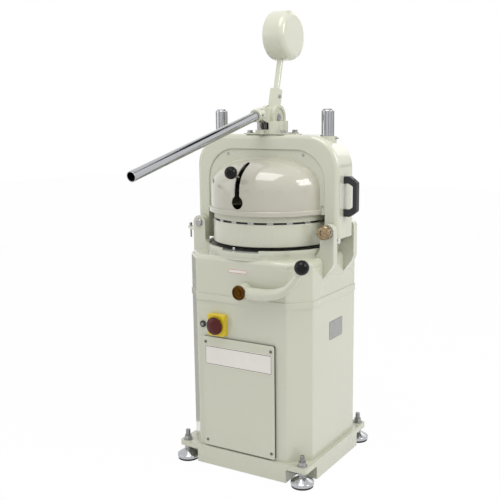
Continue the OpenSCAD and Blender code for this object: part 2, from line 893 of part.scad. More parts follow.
// Flanged bridge under the deck that carries the crank bearings
module bearing_bridge() {
    low = z_belt + belt_room;
    color(grey) difference() {
        union() {
            translate([0, 0, z_bridge_deck - 20]) cylinder(r = bridge_r, h = 20);
            translate([0, 0, low]) cylinder(r = bridge_neck, h = z_bridge_deck - 20 - low);
        }
        translate([0, 0, low - 1]) cylinder(r = shaft_d / 2 + 4, h = z_bridge_deck - low + 2);
        bearing_seats() cylinder(r = bearing_r, h = bearing_h + 0.01);
        translate([0, 0, low - 1]) cylinder(r = bearing_r, h = 1.01);
        translate([0, 0, z_bridge_deck - bearing_h - 1]) cylinder(r = bearing_r, h = bearing_h + 2);
    }
}

module bearing_seats() {
    for (z = [z_belt + belt_room, z_bridge_deck - bearing_h - 1]) translate([0, 0, z]) children();
}

// The two bearings of the crank shaft
module shaft_bearings() {
    color(chrome) bearing_seats() difference() {
        cylinder(r = bearing_r, h = bearing_h);
        translate([0, 0, -1]) cylinder(r = shaft_d / 2 + run, h = bearing_h + 2);
    }
}

// Idler crank that keeps the table from turning
module guide_crank(i) {
    a = 90 + i * 120;
    color(steel) rotate([0, 0, a]) translate([guide_r, 0, 0]) {
        translate([0, 0, z_deck - deck_t - 8]) cylinder(r = guide_d / 2 + 5, h = 8 - face);
        translate([0, 0, z_deck - deck_t - 8]) cylinder(d = guide_d, h = deck_t + 8 + face);
        translate([0, 0, z_deck + face]) cylinder(r = 25, h = table_rise - table_t - 2 * face);
        rotate([0, 0, -a]) translate([throw, 0, z_deck + face])
            cylinder(d = guide_pin_d, h = table_rise - 5);
    }
}
module guide_crank_1() { guide_crank(0); }
module guide_crank_2() { guide_crank(1); }
module guide_crank_3() { guide_crank(2); }

// Orbiting table, at the left end of its throw
module rounding_table() {
    low = z_table - table_t;
    color(grey) translate([throw, 0, 0]) difference() {
        union() {
            translate([0, 0, low]) cylinder(r = table_r, h = table_t - 2, $fn = 128);
            translate([0, 0, z_table - 2]) cylinder(r1 = table_r, r2 = table_r - 2, h = 2, $fn = 128);
            translate([0, 0, z_web + web_h + face])
                cylinder(r = web_r + 12, h = low - z_web - web_h - face + 1);
        }
        translate([0, 0, z_web]) cylinder(d = crank_pin_d + 2 * run, h = z_table - 10 - z_web);
        for (i = [0:2]) rotate([0, 0, 90 + i * 120]) translate([guide_r, 0, low - 1])
            cylinder(d = guide_pin_d + 2 * run, h = table_t - 3);
        plate_pin_places() translate([0, 0, low - 1]) cylinder(r = 5, h = table_t + 2);
    }
}

module plate_pin_places() {
    for (i = [0:2]) rotate([0, 0, -97 + i * 120]) translate([table_r - 12, 0, 0]) children();
}

// Pins that hold the dough plate in place
module plate_pins() {
    color(chrome) translate([throw, 0, 0]) plate_pin_places() {
        translate([0, 0, z_table - 12]) cylinder(r = 5, h = 12);
        translate([0, 0, z_table]) cylinder(r = 7, h = ring_gap - 7);
        translate([0, 0, z_table + ring_gap - 7]) cylinder(r1 = 7, r2 = 5, h = 2);
    }
}

// Shaft of the rounding lever through the front of the housing
module lever_shaft() {
    color(steel) translate([rl_x, 0, rl_z]) {
        bar_y(shaft_r, rl_hub_y0 - rl_hub_l, front + housing_wall + 24);
        bar_y(shaft_r + 10, front + housing_wall + face, front + housing_wall + 20);
    }
}

// Horn-shaped rounding lever
module rounding_lever() {
    tip = [rl_reach - 8, rl_rise - 16];
    horn = [
        [0.036, 0, 23], [0.225, -0.032, 26.5], [0.428, -0.016, 25], [0.609, 0.072, 22], [0.768, 0.248, 18.5]
    ];
    path = concat(
        [for (h = horn) [h[0] * rl_reach, h[1] * rl_rise, h[2]]],
        [[tip[0] - 23, tip[1] - 41, 15], [tip[0], tip[1], 11.5]]
    );
    color(cream) difference() {
        union() {
            translate([rl_x, 0, rl_z]) bar_y(rl_hub_r, rl_hub_y0 - rl_hub_l, rl_hub_y0);
            for (i = [0:5]) hull() {
                horn_station(path[i]);
                horn_station(path[i + 1]);
            }
        }
        translate([rl_x, 0, rl_z]) bar_y(shaft_r, rl_hub_y0 - rl_hub_l - 20, rl_hub_y0 + 20);
        translate([rl_x, 0, rl_z]) bar_y(cap_r + face, rl_hub_y0 - rl_hub_l - 20, rl_hub_y0 - rl_hub_l);
        translate([rl_x, 0, rl_z]) bar_y(rl_hub_r + 2, rl_hub_y0, rl_hub_y0 + rl_hub_l);
        ball_place() sphere(d = rl_ball + 2 * run);
    }
}

module horn_station(s) {
    translate([rl_x + s[0], rl_y, rl_z + s[1]]) sphere(r = s[2], $fn = 24);
}

module ball_place() {
    translate([rl_x + rl_reach, rl_y, rl_z + rl_rise]) children();
}

// Polished cap on the lever hub
module lever_cap() {
    color(bronze) translate([rl_x, rl_hub_y0 - rl_hub_l, rl_z]) rotate([90, 0, 0]) difference() {
        union() {
            cylinder(r = cap_r, h = 6);
            translate([0, 0, 6]) cylinder(r1 = cap_r, r2 = cap_r - 5, h = 4);
        }
        translate([0, 0, 7]) difference() {
            cylinder(r = cap_r - 8, h = 4);
            cylinder(r = cap_r - 17, h = 4);
        }
    }
}

// Ball of the rounding lever
module lever_ball() {
    color(black) ball_place() sphere(d = rl_ball);
}

// Outline of the head arch between its lugs and crown
module head_outline(inset) {
    half = head_w / 2 - inset;
    arch_outline(half, z_heel, z_head - inset, arch_r - inset);
}

// Rounded bead along the outer edge of the arch at one face
module arch_bead(y) {
    half = head_w / 2 - arch_edge;
    corner = head_w / 2 - arch_r;
    bend = arch_r - arch_edge;
    for (s = [-1, 1]) {
        translate([s * half, y, z_heel]) cylinder(r = arch_edge, h = z_head - arch_r - z_heel);
        translate([s * corner, y, z_head - arch_r]) rotate([90, 0, 0]) rotate([0, 0, s > 0 ? 0 : 90])
            rotate_extrude(angle = 90) translate([bend, 0]) circle(r = arch_edge);
    }
    translate([-corner, y, z_head - arch_edge]) rotate([0, 90, 0]) cylinder(r = arch_edge, h = 2 * corner);
}

// Side view of the head over one half, with rounded lower corners
module head_side(low) {
    d = head_d / 2;
    round_outline([[-d, low], [d, low], [d, z_head], [-d, z_head]], [lug_round, lug_round, 0, 0]);
}

// Arched head casting with its two lugs, column bosses and cover recesses
module head_casting() {
    d = head_d / 2;
    inner = head_w / 2 - leg_wall;
    color(cream) difference() {
        union() {
            intersection() {
                union() {
                    across_y(-d, d) head_outline(arch_edge);
                    across_y(-d + arch_edge, d - arch_edge) head_outline(0);
                    for (s = [-1, 1]) arch_bead(s * (d - arch_edge));
                }
                union() {
                    across_x(-head_w / 2, 0) head_side(z_heel);
                    across_x(-1, head_w / 2) head_side(z_pin - lug_low);
                }
            }
            for (s = [-1, 1]) translate([s * column_x, 0, z_bush]) cylinder(r = boss_r, h = bush_l);
        }
        across_y(-d - 1, d + 1) arch_outline(head_w / 2 - leg_in, z_heel - 1, z_cover + 2, 0);
        across_y(-seat_y + seat_wall, seat_y - seat_wall)
            arch_outline(inner, z_pin + 47, z_head - crown_wall, arch_r - leg_wall);
        across_y(-d - 1, d + 1) arch_outline(recess_w - 16, z_pin, recess_top - 18, recess_r - 14);
        for (s = [0, 1]) mirror([0, s, 0]) across_y(seat_y, d + 1)
            arch_outline(recess_w, z_heel - 1, recess_top, recess_r);
        for (s = [-1, 1]) translate([s * column_x, 0, z_bush - 10]) cylinder(r = bush_r, h = 120);
        rack_hole(recess_top - 30);
        translate([side(-1), 0, z_pin]) bar_y(pin_d / 2 + run, -d - 1, d + 1);
        lock_slot(d + 1);
        cover_screw_places() bar_y(3, -d, d);
    }
}

// Passage of the lift rack from one height upward
module rack_hole(low) {
    translate([0, rack_y - 8, low]) linear_extrude(z_pivot - low) square([rack_w + 8, 34], center = true);
}

// Slot of the right lug, open below, that drops over the spindle
module lock_slot(d) {
    half = pin_d / 2 + 2;
    translate([side(1), 0, z_pin]) bar_y(pin_d / 2 + face, -d, d);
    across_y(-d, d) polygon([
        [side(1) - pin_d / 2 - face, z_pin], [side(1) + pin_d / 2 + face, z_pin],
        [side(1) + half + 2, z_pin - lug_low - 1], [side(1) - half, z_pin - lug_low - 1]
    ]);
}

module cover_screw_places() {
    for (s = [-1, 1]) {
        translate([s * (recess_w - 98), 0, recess_top - 20]) children();
        translate([s * (recess_w - 10), 0, z_cover + 34]) children();
    }
}

// Half section of the bell: wall, dome and rolled lip
module bell_profile(r, dome, lip) {
    steps = 18;
    power = 2 / bell_full;
    polygon(concat(
        [[0, z_cover], [r, z_cover]],
        [for (i = [0:steps]) [r * pow(cos(90 * i / steps), power), z_dome + dome * pow(sin(90 * i / steps), power)]]
    ));
    if (lip > 0) translate([r - 1, z_cover]) {
        square([roll_w - 3, roll_h]);
        translate([0, 4]) square([roll_w + 1, roll_h - 8]);
        translate([roll_w - 3, 4]) circle(r = 4);
        translate([roll_w - 3, roll_h - 4]) circle(r = 4);
    }
}

// Bell cover on the front, with its flange in the recess of the arch
module bell_cover() {
    inner = bell_r - bell_wall;
    reach = bell_r + roll_w + 1;
    difference() {
        union() {
            across_y(-seat_y - flange_t, -seat_y)
                arch_outline(recess_w - cover_gap, z_cover, recess_top - cover_gap, recess_r - cover_gap);
            intersection() {
                rotate_extrude($fn = 128) bell_profile(bell_r, bell_dome, 1);
                translate([-reach, -reach, z_cover]) cube([2 * reach, reach - seat_y, recess_h]);
            }
        }
        translate([0, 0, -0.01]) rotate_extrude($fn = 128)
            translate([0, -1]) bell_profile(inner, bell_dome - bell_wall, 0);
        cover_screw_places() bar_y(3, -seat_y - flange_t - 1, -seat_y + 1);
    }
}

// Front bell with the slot of the cut lever
module front_cover() {
    hole_z = z_cover + slot_rise;
    near = -bell_r - roll_w - 1;
    color(cream) difference() {
        bell_cover();
        translate([cut_x, 0, hole_z]) bar_y(slot_hole / 2, near, -bell_r / 2);
        translate([cut_x - slot_w / 2, near, hole_z]) cube([slot_w, -slot_end - near, slot_h]);
        translate([cut_x, 0, hole_z + slot_h]) bar_y(slot_w / 2, near, -slot_end);
    }
}

// Rear bell
module rear_cover() {
    color(cream) mirror([0, 1, 0]) bell_cover();
}

// Screws of both cover flanges
module cover_screws() {
    y = seat_y + flange_t;
    color(steel) cover_screw_places() for (s = [0, 1]) mirror([0, s, 0]) {
        bar_y(5, -y - 3, -y);
        bar_y(3 - run, -y - 1, -y + 14);
    }
}

// Bridge handle on the right side of the head
module side_handle() {
    h = handle_l / 2;
    grip_out = handle_out + 8;
    grip_in = handle_out - 10;
    color(black) translate([head_w / 2, handle_y, handle_z]) difference() {
        translate([0, 13, 0]) rotate([90, 0, 0]) linear_extrude(26) difference() {
            round_outline([
                [0, -h - 15], [26, -h - 15], [grip_out, -h + 8],
                [grip_out, h - 8], [26, h + 15], [0, h + 15]
            ], [2, 6, 12, 12, 6, 2]);
            round_outline([
                [-5, -h + 15], [22, -h + 13], [grip_in, -h + 24],
                [grip_in, h - 24], [22, h - 13], [-5, h - 15]
            ], [0, 8, 8, 8, 8, 0]);
        }
        for (s = [-1, 1]) translate([0, 0, s * h]) bar_x(3.2, -1, 40);
        for (s = [-1, 1]) translate([0, 0, s * h]) bar_x(6, 10, 60);
    }
}

// Screws of the bridge handle
module handle_screws() {
    color(steel) for (s = [-1, 1]) translate([head_w / 2, handle_y, handle_z + s * handle_l / 2]) {
        bar_x(5, 10, 16);
        bar_x(3.1, 0, 11);
    }
}

// Post on the crown with the two bearing lugs of the lever
module lever_post() {
    lug_r = 52;
    color(cream) difference() {
        union() {
            translate([0, bolt_mid, z_head]) linear_extrude(post_flange)
                round_rect(2 * bolt_x + 32, 2 * bolt_y + 32, 14);
            translate([0, (post_front + post_rear) / 2, z_head]) linear_extrude(post_h)
                round_rect(post_w, post_rear - post_front, post_r);
            across_x(-lug_out, lug_out) {
                translate([0, z_pivot]) circle(r = lug_r);
                translate([-lug_r, z_head + 10]) square([2 * lug_r, z_pivot - z_head - 10]);
            }
            translate([rest_x - 13, rest_y - 12, z_head + 1])
                cube([26, post_front - rest_y + 30, z_post_floor - z_head - 1]);
        }
        translate([-slot_half, post_front - 40, z_post_floor])
            cube([2 * slot_half, post_rear - post_front + 80, z_pivot + lug_r + 10 - z_post_floor]);
        rack_hole(z_head - 1);
        translate([0, 0, z_pivot]) bar_x(pivot_r, -lug_out - 1, lug_out + 1);
        for (s = [0, 1]) mirror([s, 0, 0]) translate([0, 0, z_pivot])
            bar_x(lug_r - 13, lug_out - 5, lug_out + 1);
        at_corners(bolt_x, bolt_y) translate([0, bolt_mid, z_head - 1]) cylinder(r = 7, h = post_flange + 2);
        translate([rest_x, rest_y, z_head + 8]) cylinder(r = 5 + run, h = 60);
    }
}

// Hexagon bolts of the post flange
module post_bolts() {
    color(steel) at_corners(bolt_x, bolt_y) translate([0, bolt_mid, z_head]) {
        translate([0, 0, post_flange]) cylinder(r = 14, h = 3);
        translate([0, 0, post_flange + 3]) hex(22, 9);
        cylinder(r = 7 - run, h = post_flange + 1);
    }
}

// Pin through the lugs and the lever yoke
module pivot_pin() {
    color(steel) translate([0, 0, z_pivot]) bar_x(pivot_r - run, -lug_out + 2, lug_out - 2);
}

// Screw with a domed head on which the lowered lever rests
module rest_screw() {
    dome = 14;
    z_dome_c = rest_z - (dome + face) / cos(rest_tilt);
    base = z_head + 8;
    color(steel) translate([rest_x, rest_y, 0]) {
        translate([0, 0, base]) cylinder(r = 5, h = z_dome_c + 6 - base);
        translate([0, 0, z_dome_c]) intersection() {
            sphere(r = dome);
            translate([0, 0, 5]) cylinder(r = 8, h = 12);
        }
        translate([0, 0, z_post_floor]) hex(16, 6);
    }
}

// Bronze bushes of the guide columns
module column_bushes() {
    color(bronze) for (s = [-1, 1]) translate([s * column_x, 0, z_bush]) difference() {
        cylinder(r = bush_r, h = bush_l);
        translate([0, 0, -1]) cylinder(d = column_d + 2 * run, h = bush_l + 2);
    }
}

// Grease nipples on the column bosses
module grease_nipples() {
    color(steel) for (s = [-1, 1]) translate([s * (column_x + boss_r), 0, z_head - 14])
        rotate([0, s * 90, 0]) {
            cylinder(r = 4, h = 8);
            translate([0, 0, 8]) sphere(r = 4.4);
        }
}

// Children in the frame of the lever, with the tube along -Y
module lever_frame() {
    translate([0, 0, z_pivot]) rotate([lever_droop, 0, 0]) children();
}

// Outline of one gear tooth pointing along -Y at the pitch radius
module gear_tooth() {
    half = tooth / 4 - backlash / 2;
    tip = -pitch_r - gear_m * 0.9;
    root = -pitch_r + gear_m * 1.25 + 2;
    polygon([[tip, -half + 1], [tip, half - 1], [root, half + 1.3], [root, -half - 1.3]]);
}

// Solid body of the yoke: hub, arm, tube socket and stalk block
module yoke_body() {
    block = 38;
    block_top = 122;
    across_x(-yoke_w / 2, yoke_w / 2) {
        circle(r = hub_r);
        polygon([
            [-arm_root, hub_r - arm_tuck], [-socket_root, socket_up + socket_r - arm_tuck],
            [-socket_root, socket_up - socket_r + arm_tuck], [-arm_root, arm_root * cheek_slope - hub_r]
        ]);
    }
    translate([0, 0, socket_up]) bar_y(socket_r, -socket_far, -socket_near);
    rotate([-weight_lean - lever_droop, 0, 0]) translate([-yoke_w / 2 + 0.5, -block / 2, 20])
        cube([yoke_w - 1, block, block_top - 20]);
}

// Lever yoke with gear sector, open below for the rack
module lever_yoke() {
    gear_half = rack_w / 2 + 0.5;
    root_r = pitch_r - gear_m * 1.25;
    web_low = hub_r - 9;
    last = ceil(lever_swing * gear_n / 360) + 2;
    color(cream) difference() {
        union() {
            lever_frame() difference() {
                yoke_body();
                across_x(-cheek_in, cheek_in)
                    polygon([[-socket_near + 4, -80], [-socket_near + 4, web_low], [70, web_low], [70, -80]]);
            }
            translate([0, 0, z_pivot]) across_x(-cheek_in - 1, cheek_in + 1) circle(r = root_r - 6);
            translate([0, 0, z_pivot]) across_x(-gear_half, gear_half) {
                circle(r = root_r);
                for (i = [-2:last]) rotate(i * 360 / gear_n) gear_tooth();
            }
        }
        translate([0, 0, z_pivot]) bar_x(pivot_r, -40, 40);
        lever_frame() translate([0, 0, socket_up]) bar_y(tube_d / 2 + run, -socket_far - 1, -socket_near - 4);
        stalk_frame() translate([0, 0, stalk_low]) cylinder(d = stalk_d + 2 * run, h = 60);
        tube_screw(5 + run, tube_d / 2 - 5);
        stalk_screw(7 + run);
    }
}

// Place of the set screw in the tube socket
module tube_screw(r, x0) {
    lever_frame() translate([0, -socket_far + 16, socket_up]) bar_x(r, x0, socket_r + 5);
}

// Place of the set screw in the stalk socket
module stalk_screw(r) {
    stalk_frame() translate([0, 0, stalk_low + 10]) bar_x(r, yoke_w / 2 - 4, yoke_w / 2 + 6);
}

// Children in the frame of the counterweight stalk, along +Z from the pivot
module stalk_frame() {
    translate([0, 0, z_pivot]) rotate([-weight_lean, 0, 0]) children();
}

// Bright tube of the press lever, open at its end
module lever_tube() {
    y0 = -socket_near - 4;
    color(chrome) lever_frame() translate([0, 0, socket_up]) difference() {
        bar_y(tube_d / 2, y0 - tube_l, y0);
        bar_y(tube_d / 2 - tube_wall, y0 - tube_l - 1, y0 + 1);
    }
}

// Set screws of the tube socket and the stalk socket
module yoke_screws() {
    color(steel) {
        tube_screw(5, tube_d / 2 + run);
        stalk_screw(7);
    }
}

// Stalk of the counterweight
module weight_stalk() {
    color(cream) stalk_frame() translate([0, 0, stalk_low])
        cylinder(d = stalk_d, h = weight_reach - stalk_low - weight_d / 2 + 40);
}

// Counterweight drum with rounded rims
module counterweight() {
    edge = 26;
    r = weight_d / 2;
    half = weight_t / 2;
    color(cream) difference() {
        stalk_frame() translate([0, 0, weight_reach]) rotate([0, 90, 0]) rotate_extrude() {
            polygon([[0, -half], [r - edge, -half], [r - edge, half], [0, half]]);
            polygon([[0, -half + edge], [r, -half + edge], [r, half - edge], [0, half - edge]]);
            translate([r - edge, half - edge]) circle(r = edge);
            translate([r - edge, -half + edge]) circle(r = edge);
        }
        stalk_frame() translate([0, 0, weight_reach - r - 10]) cylinder(d = stalk_d + 2 * run, h = 50);
    }
}

// Guide columns with chamfered tops
module guide_columns() {
    top = z_head + column_rise;
    color(chrome) for (s = [-1, 1]) translate([s * column_x, 0, z_cross]) {
        cylinder(d = column_d, h = top - z_cross - 8);
        translate([0, 0, top - z_cross - 8]) cylinder(d1 = column_d, d2 = column_d - 16, h = 8);
    }
}

// Crosshead that joins columns, rack and press plate, with the lugs of the cut lever
module crosshead() {
    end_r = column_d / 2 + 6;
    beam_rear = 45;
    color(grey) difference() {
        union() {
            translate([-column_x + 40, rack_back - 4, z_cross])
                cube([2 * column_x - 80, beam_rear - rack_back + 4, cross_t]);
            for (s = [-1, 1]) translate([s * column_x, 0, z_cross]) {
                cylinder(r = end_r, h = cross_t);
                translate([s > 0 ? -50 : 0, -end_r, 0]) cube([50, 2 * end_r, cross_t]);
            }
            for (s = [-1, 1]) translate([cut_x + s * 17 - 5, cut_y - 18, z_cross])
                cube([10, -cut_y + rack_back + 20, cross_t]);
        }
        for (s = [-1, 1]) translate([s * column_x, 0, z_cross - 1]) cylinder(d = column_d, h = cross_t + 2);
        translate([cut_x, cut_y, cut_z]) bar_x(6, -30, 30);
    }
}

// Toothed lift bar driven by the lever gear
module lift_rack() {
    low = z_cross_top;
    teeth = ceil(stroke / tooth) + 1;
    half = tooth / 4 - backlash / 2;
    root = rack_y - gear_m * 1.25;
    tip = rack_y + gear_m * 0.9;
    color(steel) {
        translate([-rack_w / 2, rack_back, low]) cube([rack_w, root - rack_back, z_pivot + 16 - low]);
        across_x(-rack_w / 2, rack_w / 2) for (i = [-teeth:1]) translate([0, z_pivot + (i - 0.5) * tooth])
            polygon([[root - 1, -half - 1.3], [tip, -half + 1], [tip, half - 1], [root - 1, half + 1.3]]);
    }
}

function sum_to(i) = i < 0 ? 0 : pieces[i] + sum_to(i - 1);
function row_r(i) = press_r * sqrt(sum_to(i) / sum_to(rows - 1));

// Knife layout: rings between the rows and straight knives inside each row
module knife_plan(t) {
    for (i = [0:rows - 2]) difference() {
        circle(r = row_r(i) + t / 2, $fn = 96);
        circle(r = row_r(i) - t / 2, $fn = 96);
    }
    for (i = [0:rows - 1], k = [0:pieces[i] - 1]) {
        inner = i == 0 ? 0 : row_r(i - 1);
        outer = i == rows - 1 ? row_r(i) - 2 : row_r(i);
        rotate(k * 360 / pieces[i]) translate([inner, -t / 2]) square([outer - inner, t]);
    }
}

module knife_rods() {
    for (i = [0:2]) rotate([0, 0, 45 + i * 120]) translate([row_r(0), 0, 0]) children();
}

// Press plate with slots for the knives, flange for the ring and hub for the crosshead
module press_plate() {
    slot_top = z_plate + knife_h + 6;
    color(grey) difference() {
        union() {
            translate([0, 0, z_plate]) cylinder(r = press_r, h = z_flange - z_plate);
            translate([0, 0, z_flange]) cylinder(r = ring_r - 4, h = plate_flange, $fn = 128);
            translate([0, 0, z_hub]) cylinder(r = neck_r, h = hub_h);
        }
        translate([0, 0, z_plate - 1]) linear_extrude(slot_top - z_plate + 1)
            knife_plan(knife_t + 2 * knife_clear);
        knife_rods() translate([0, 0, z_plate + 10]) cylinder(r = 6 + knife_clear, h = 120);
    }
}

// Ring that holds the dough cake in
module outer_ring() {
    color(cream) translate([0, 0, z_ring]) rotate_extrude($fn = 128) {
        translate([ring_r - ring_wall, 0]) square([ring_wall - 3, ring_h]);
        translate([ring_r - ring_wall, 3]) square([ring_wall, ring_h - 6]);
        translate([ring_r - 3, 3]) circle(r = 3);
        translate([ring_r - 3, ring_h - 3]) circle(r = 3);
    }
}

// Spacers between the ring and the press plate
module ring_spacers() {
    color(steel) for (i = [0:spacers - 1]) rotate([0, 0, (i + 0.5) * 360 / spacers])
        translate([ring_r - ring_wall + 1, -spacer_w / 2, z_ring_top]) cube([spacer_t, spacer_w, spacer_h]);
}

// Knife grid hung on three rods from its bridge ring
module knife_grid() {
    low = z_plate + 0.5;
    color(steel) {
        translate([0, 0, low]) linear_extrude(knife_h) knife_plan(knife_t);
        knife_rods() translate([0, 0, low + knife_h - 2]) cylinder(r = 6, h = z_bridge - low - knife_h + 3);
        translate([0, 0, z_bridge]) linear_extrude(bridge_t) {
            difference() {
                circle(r = row_r(0) + bridge_half);
                circle(r = row_r(0) - bridge_half);
            }
            translate([cut_x - 11, tongue_y - 10]) square([22, -tongue_y - row_r(0) + 5]);
        }
    }
}

// Children in the frame of the cut lever, with the rod along -Y
module cut_frame() {
    translate([cut_x, cut_y, cut_z]) rotate([-cut_rise, 0, 0]) children();
}

// Cut lever with its pressing finger
module cut_lever() {
    color(steel) {
        cut_frame() {
            bar_y(cut_rod / 2, -cut_reach, 0);
            bar_x(13, -11.7, 11.7);
        }
        translate([cut_x, cut_y, cut_z]) bar_x(5.9, -24, 24);
        across_x(cut_x - 6, cut_x + 6) polygon([
            [tongue_y - 6, z_bridge + bridge_t + face], [tongue_y + 6, z_bridge + bridge_t + face],
            [tongue_y + 8, cut_z + 33], [tongue_y - 8, cut_z + 33]
        ]);
    }
}

// Ball of the cut lever
module cut_knob() {
    color(black) cut_frame() difference() {
        translate([0, -cut_reach, 0]) sphere(d = cut_ball);
        bar_y(cut_rod / 2 + run, -cut_reach, 0);
    }
}

plinth();
cabinet();
upper_housing();
foot_pads();
foot_rubbers();
foot_studs();
foot_nuts();
front_panel();
panel_screws();
switch_box();
stop_button();
reset_bezel();
reset_button();
cable_gland();
hinge_pin();
opening_stop();
lock_spindle();
lock_knob();
motor();
motor_pulley();
drive_belt();
driven_pulley();
crank_shaft();
bearing_bridge();
shaft_bearings();
guide_crank_1();
guide_crank_2();
guide_crank_3();
rounding_table();
plate_pins();
lever_shaft();
rounding_lever();
lever_cap();
lever_ball();
head_casting();
front_cover();
rear_cover();
cover_screws();
side_handle();
handle_screws();
lever_post();
post_bolts();
pivot_pin();
rest_screw();
column_bushes();
grease_nipples();
lever_yoke();
lever_tube();
yoke_screws();
weight_stalk();
counterweight();
guide_columns();
crosshead();
lift_rack();
press_plate();
outer_ring();
ring_spacers();
knife_grid();
cut_lever();
cut_knob();
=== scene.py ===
import math

import bmesh
import bpy
import numpy as np
from bpy.props import FloatProperty, FloatVectorProperty, PointerProperty
from mathutils import Matrix, Vector


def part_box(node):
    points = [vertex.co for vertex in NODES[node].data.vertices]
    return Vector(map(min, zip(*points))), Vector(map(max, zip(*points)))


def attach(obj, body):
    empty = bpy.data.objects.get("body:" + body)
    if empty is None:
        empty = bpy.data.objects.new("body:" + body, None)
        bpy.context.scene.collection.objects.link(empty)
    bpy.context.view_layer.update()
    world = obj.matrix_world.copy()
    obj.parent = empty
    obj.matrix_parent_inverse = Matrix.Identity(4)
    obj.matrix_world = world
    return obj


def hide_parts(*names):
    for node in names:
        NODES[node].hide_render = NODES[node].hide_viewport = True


bl_info = {
    "name": "Divider rounder",
    "version": (1, 0, 0),
    "blender": (4, 5, 0),
    "location": "3D View > Sidebar > Rounder",
    "description": "Paint, bright metal, grips, plates and studio of a hand-lever divider rounder",
    "category": "Object",
}

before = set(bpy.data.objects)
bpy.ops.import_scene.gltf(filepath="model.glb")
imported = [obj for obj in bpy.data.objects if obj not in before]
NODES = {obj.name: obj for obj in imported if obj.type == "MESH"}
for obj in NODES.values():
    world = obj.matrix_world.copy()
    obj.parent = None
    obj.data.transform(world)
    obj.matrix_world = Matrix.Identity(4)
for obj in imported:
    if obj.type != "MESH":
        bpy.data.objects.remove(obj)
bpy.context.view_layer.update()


# Settings

def colour(label, words, rgb):
    """A colour property with its default."""
    return FloatVectorProperty(name=label, description=words, subtype="COLOR", size=3, min=0.0, max=1.0, default=rgb)


def length(label, words, metres):
    """A length property with its default."""
    return FloatProperty(name=label, description=words, unit="LENGTH", default=metres)


class RounderFinishes(bpy.types.PropertyGroup):
    """Colours of the finishes."""

    ivory: colour("Ivory paint", "Paint of the castings and the cabinet", (0.60, 0.607, 0.49))
    bell: colour("Bell paint", "Warmer paint of the bell covers", (0.50, 0.485, 0.40))
    chrome: colour("Chrome", "Columns, lever tube and foot pads", (0.48, 0.49, 0.51))
    steel: colour("Steel", "Bolts, nuts, spindles and shafts", (0.40, 0.40, 0.40))
    # Steel darkened as painted shade for the knives, rack and drive inside the machine; the panel screws take it too
    shaded_steel: colour("Dark steel", "Knives, rack and drive", (0.15, 0.15, 0.15))
    bronze: colour("Bronze", "Lock knob and bushes", (0.385, 0.30, 0.19))
    dark_bronze: colour("Dark bronze", "Cap of the rounding lever", (0.10, 0.045, 0.008))
    black: colour("Black", "Ball knobs and bridge handle", (0.004, 0.004, 0.005))
    yellow: colour("Yellow", "Box of the stop switch", (0.80, 0.60, 0.02))
    red: colour("Dark red", "Mushroom of the stop switch", (0.085, 0.010, 0.008))
    table_grey: colour("Table grey", "Machined table and press plate", (0.36, 0.37, 0.35))
    plate_white: colour("Plate white", "Bare plate on the service panel", (0.80, 0.78, 0.72))
    plate_grey: colour("Plate grey", "Bare plate on the right side", (0.32, 0.32, 0.31))


class RounderPlates(bpy.types.PropertyGroup):
    """Sizes of the bare plates and limits of the paints."""

    flange_face: length("Flange face", "Distance of a bell flange's face from the mid plane", 0.0706)
    panel_edge: length("Panel edge", "Where the black edging of the service panel begins, behind its face", -0.0012)
    # From this depth behind the panel's face, its sides are near-black: painted shade of the gap round the service
    # panel
    skirt_drop: length("Skirt drop", "How far the rear bell laps over the edge of the press plate", 0.0035)
    door_width: length("Door plate width", "Width of the plate on the service panel", 0.330)
    door_height: length("Door plate height", "Height of the plate on the service panel", 0.084)
    door_z: length("Door plate height above floor", "Middle of the plate on the service panel", 0.502)
    data_width: length("Data plate width", "Width of the plate on the right side", 0.124)
    data_height: length("Data plate height", "Height of the plate on the right side", 0.080)
    data_z: length("Data plate height above floor", "Middle of the plate on the right side", 0.606)
    badge_width: length("Badge width", "Width of the small plate on the housing", 0.094)
    badge_height: length("Badge height", "Height of the small plate on the housing", 0.020)
    badge_z: length("Badge height above floor", "Middle of the small plate on the housing", 0.875)
    sheet: length("Plate thickness", "Thickness of the plates", 0.0012)


class RounderStudio(bpy.types.PropertyGroup):
    """Camera and light."""

    place: FloatVectorProperty(name="Camera place", description="Where the camera stands", subtype="TRANSLATION",
                               unit="LENGTH", default=(1.7493, -3.0030, 1.5283))
    target: FloatVectorProperty(name="Camera target", description="Point on the camera's axis", subtype="TRANSLATION",
                                unit="LENGTH", default=(0.0, 0.0, 0.8464))
    roll: FloatProperty(name="Camera roll", description="Roll about the camera's axis", subtype="ANGLE",
                        default=math.radians(-0.41))
    focal: FloatProperty(name="Focal length", description="Focal length in pixels of a 500 pixel frame", default=806.4)
    centre_x: FloatProperty(name="Centre across", description="Pixel on the camera's axis, across", default=273.89)
    centre_y: FloatProperty(name="Centre down", description="Pixel on the camera's axis, down", default=266.91)
    frame_size: FloatProperty(name="Frame", description="Pixels across the frame", default=500.0)
    key: FloatProperty(name="Key light", description="Power of the key light", subtype="POWER", default=46.0)
    front: FloatProperty(name="Front light", description="Power of the light above the front", subtype="POWER",
                         default=46.0)
    fill: FloatProperty(name="Fill light", description="Power of the fill light", subtype="POWER", default=16.0)
    sky: FloatProperty(name="Room light", description="Strength of the light from all round", default=0.58)
    flag_far: length("Flag distance", "Distance of the upright flags from the machine's axis", 3.6)
    flag_low: length("Flag height", "Lower edge of the upright flags, level with the columns", 1.25)
    flag_tall: length("Flag size", "Height of the upright flags", 0.3)


# Shaders

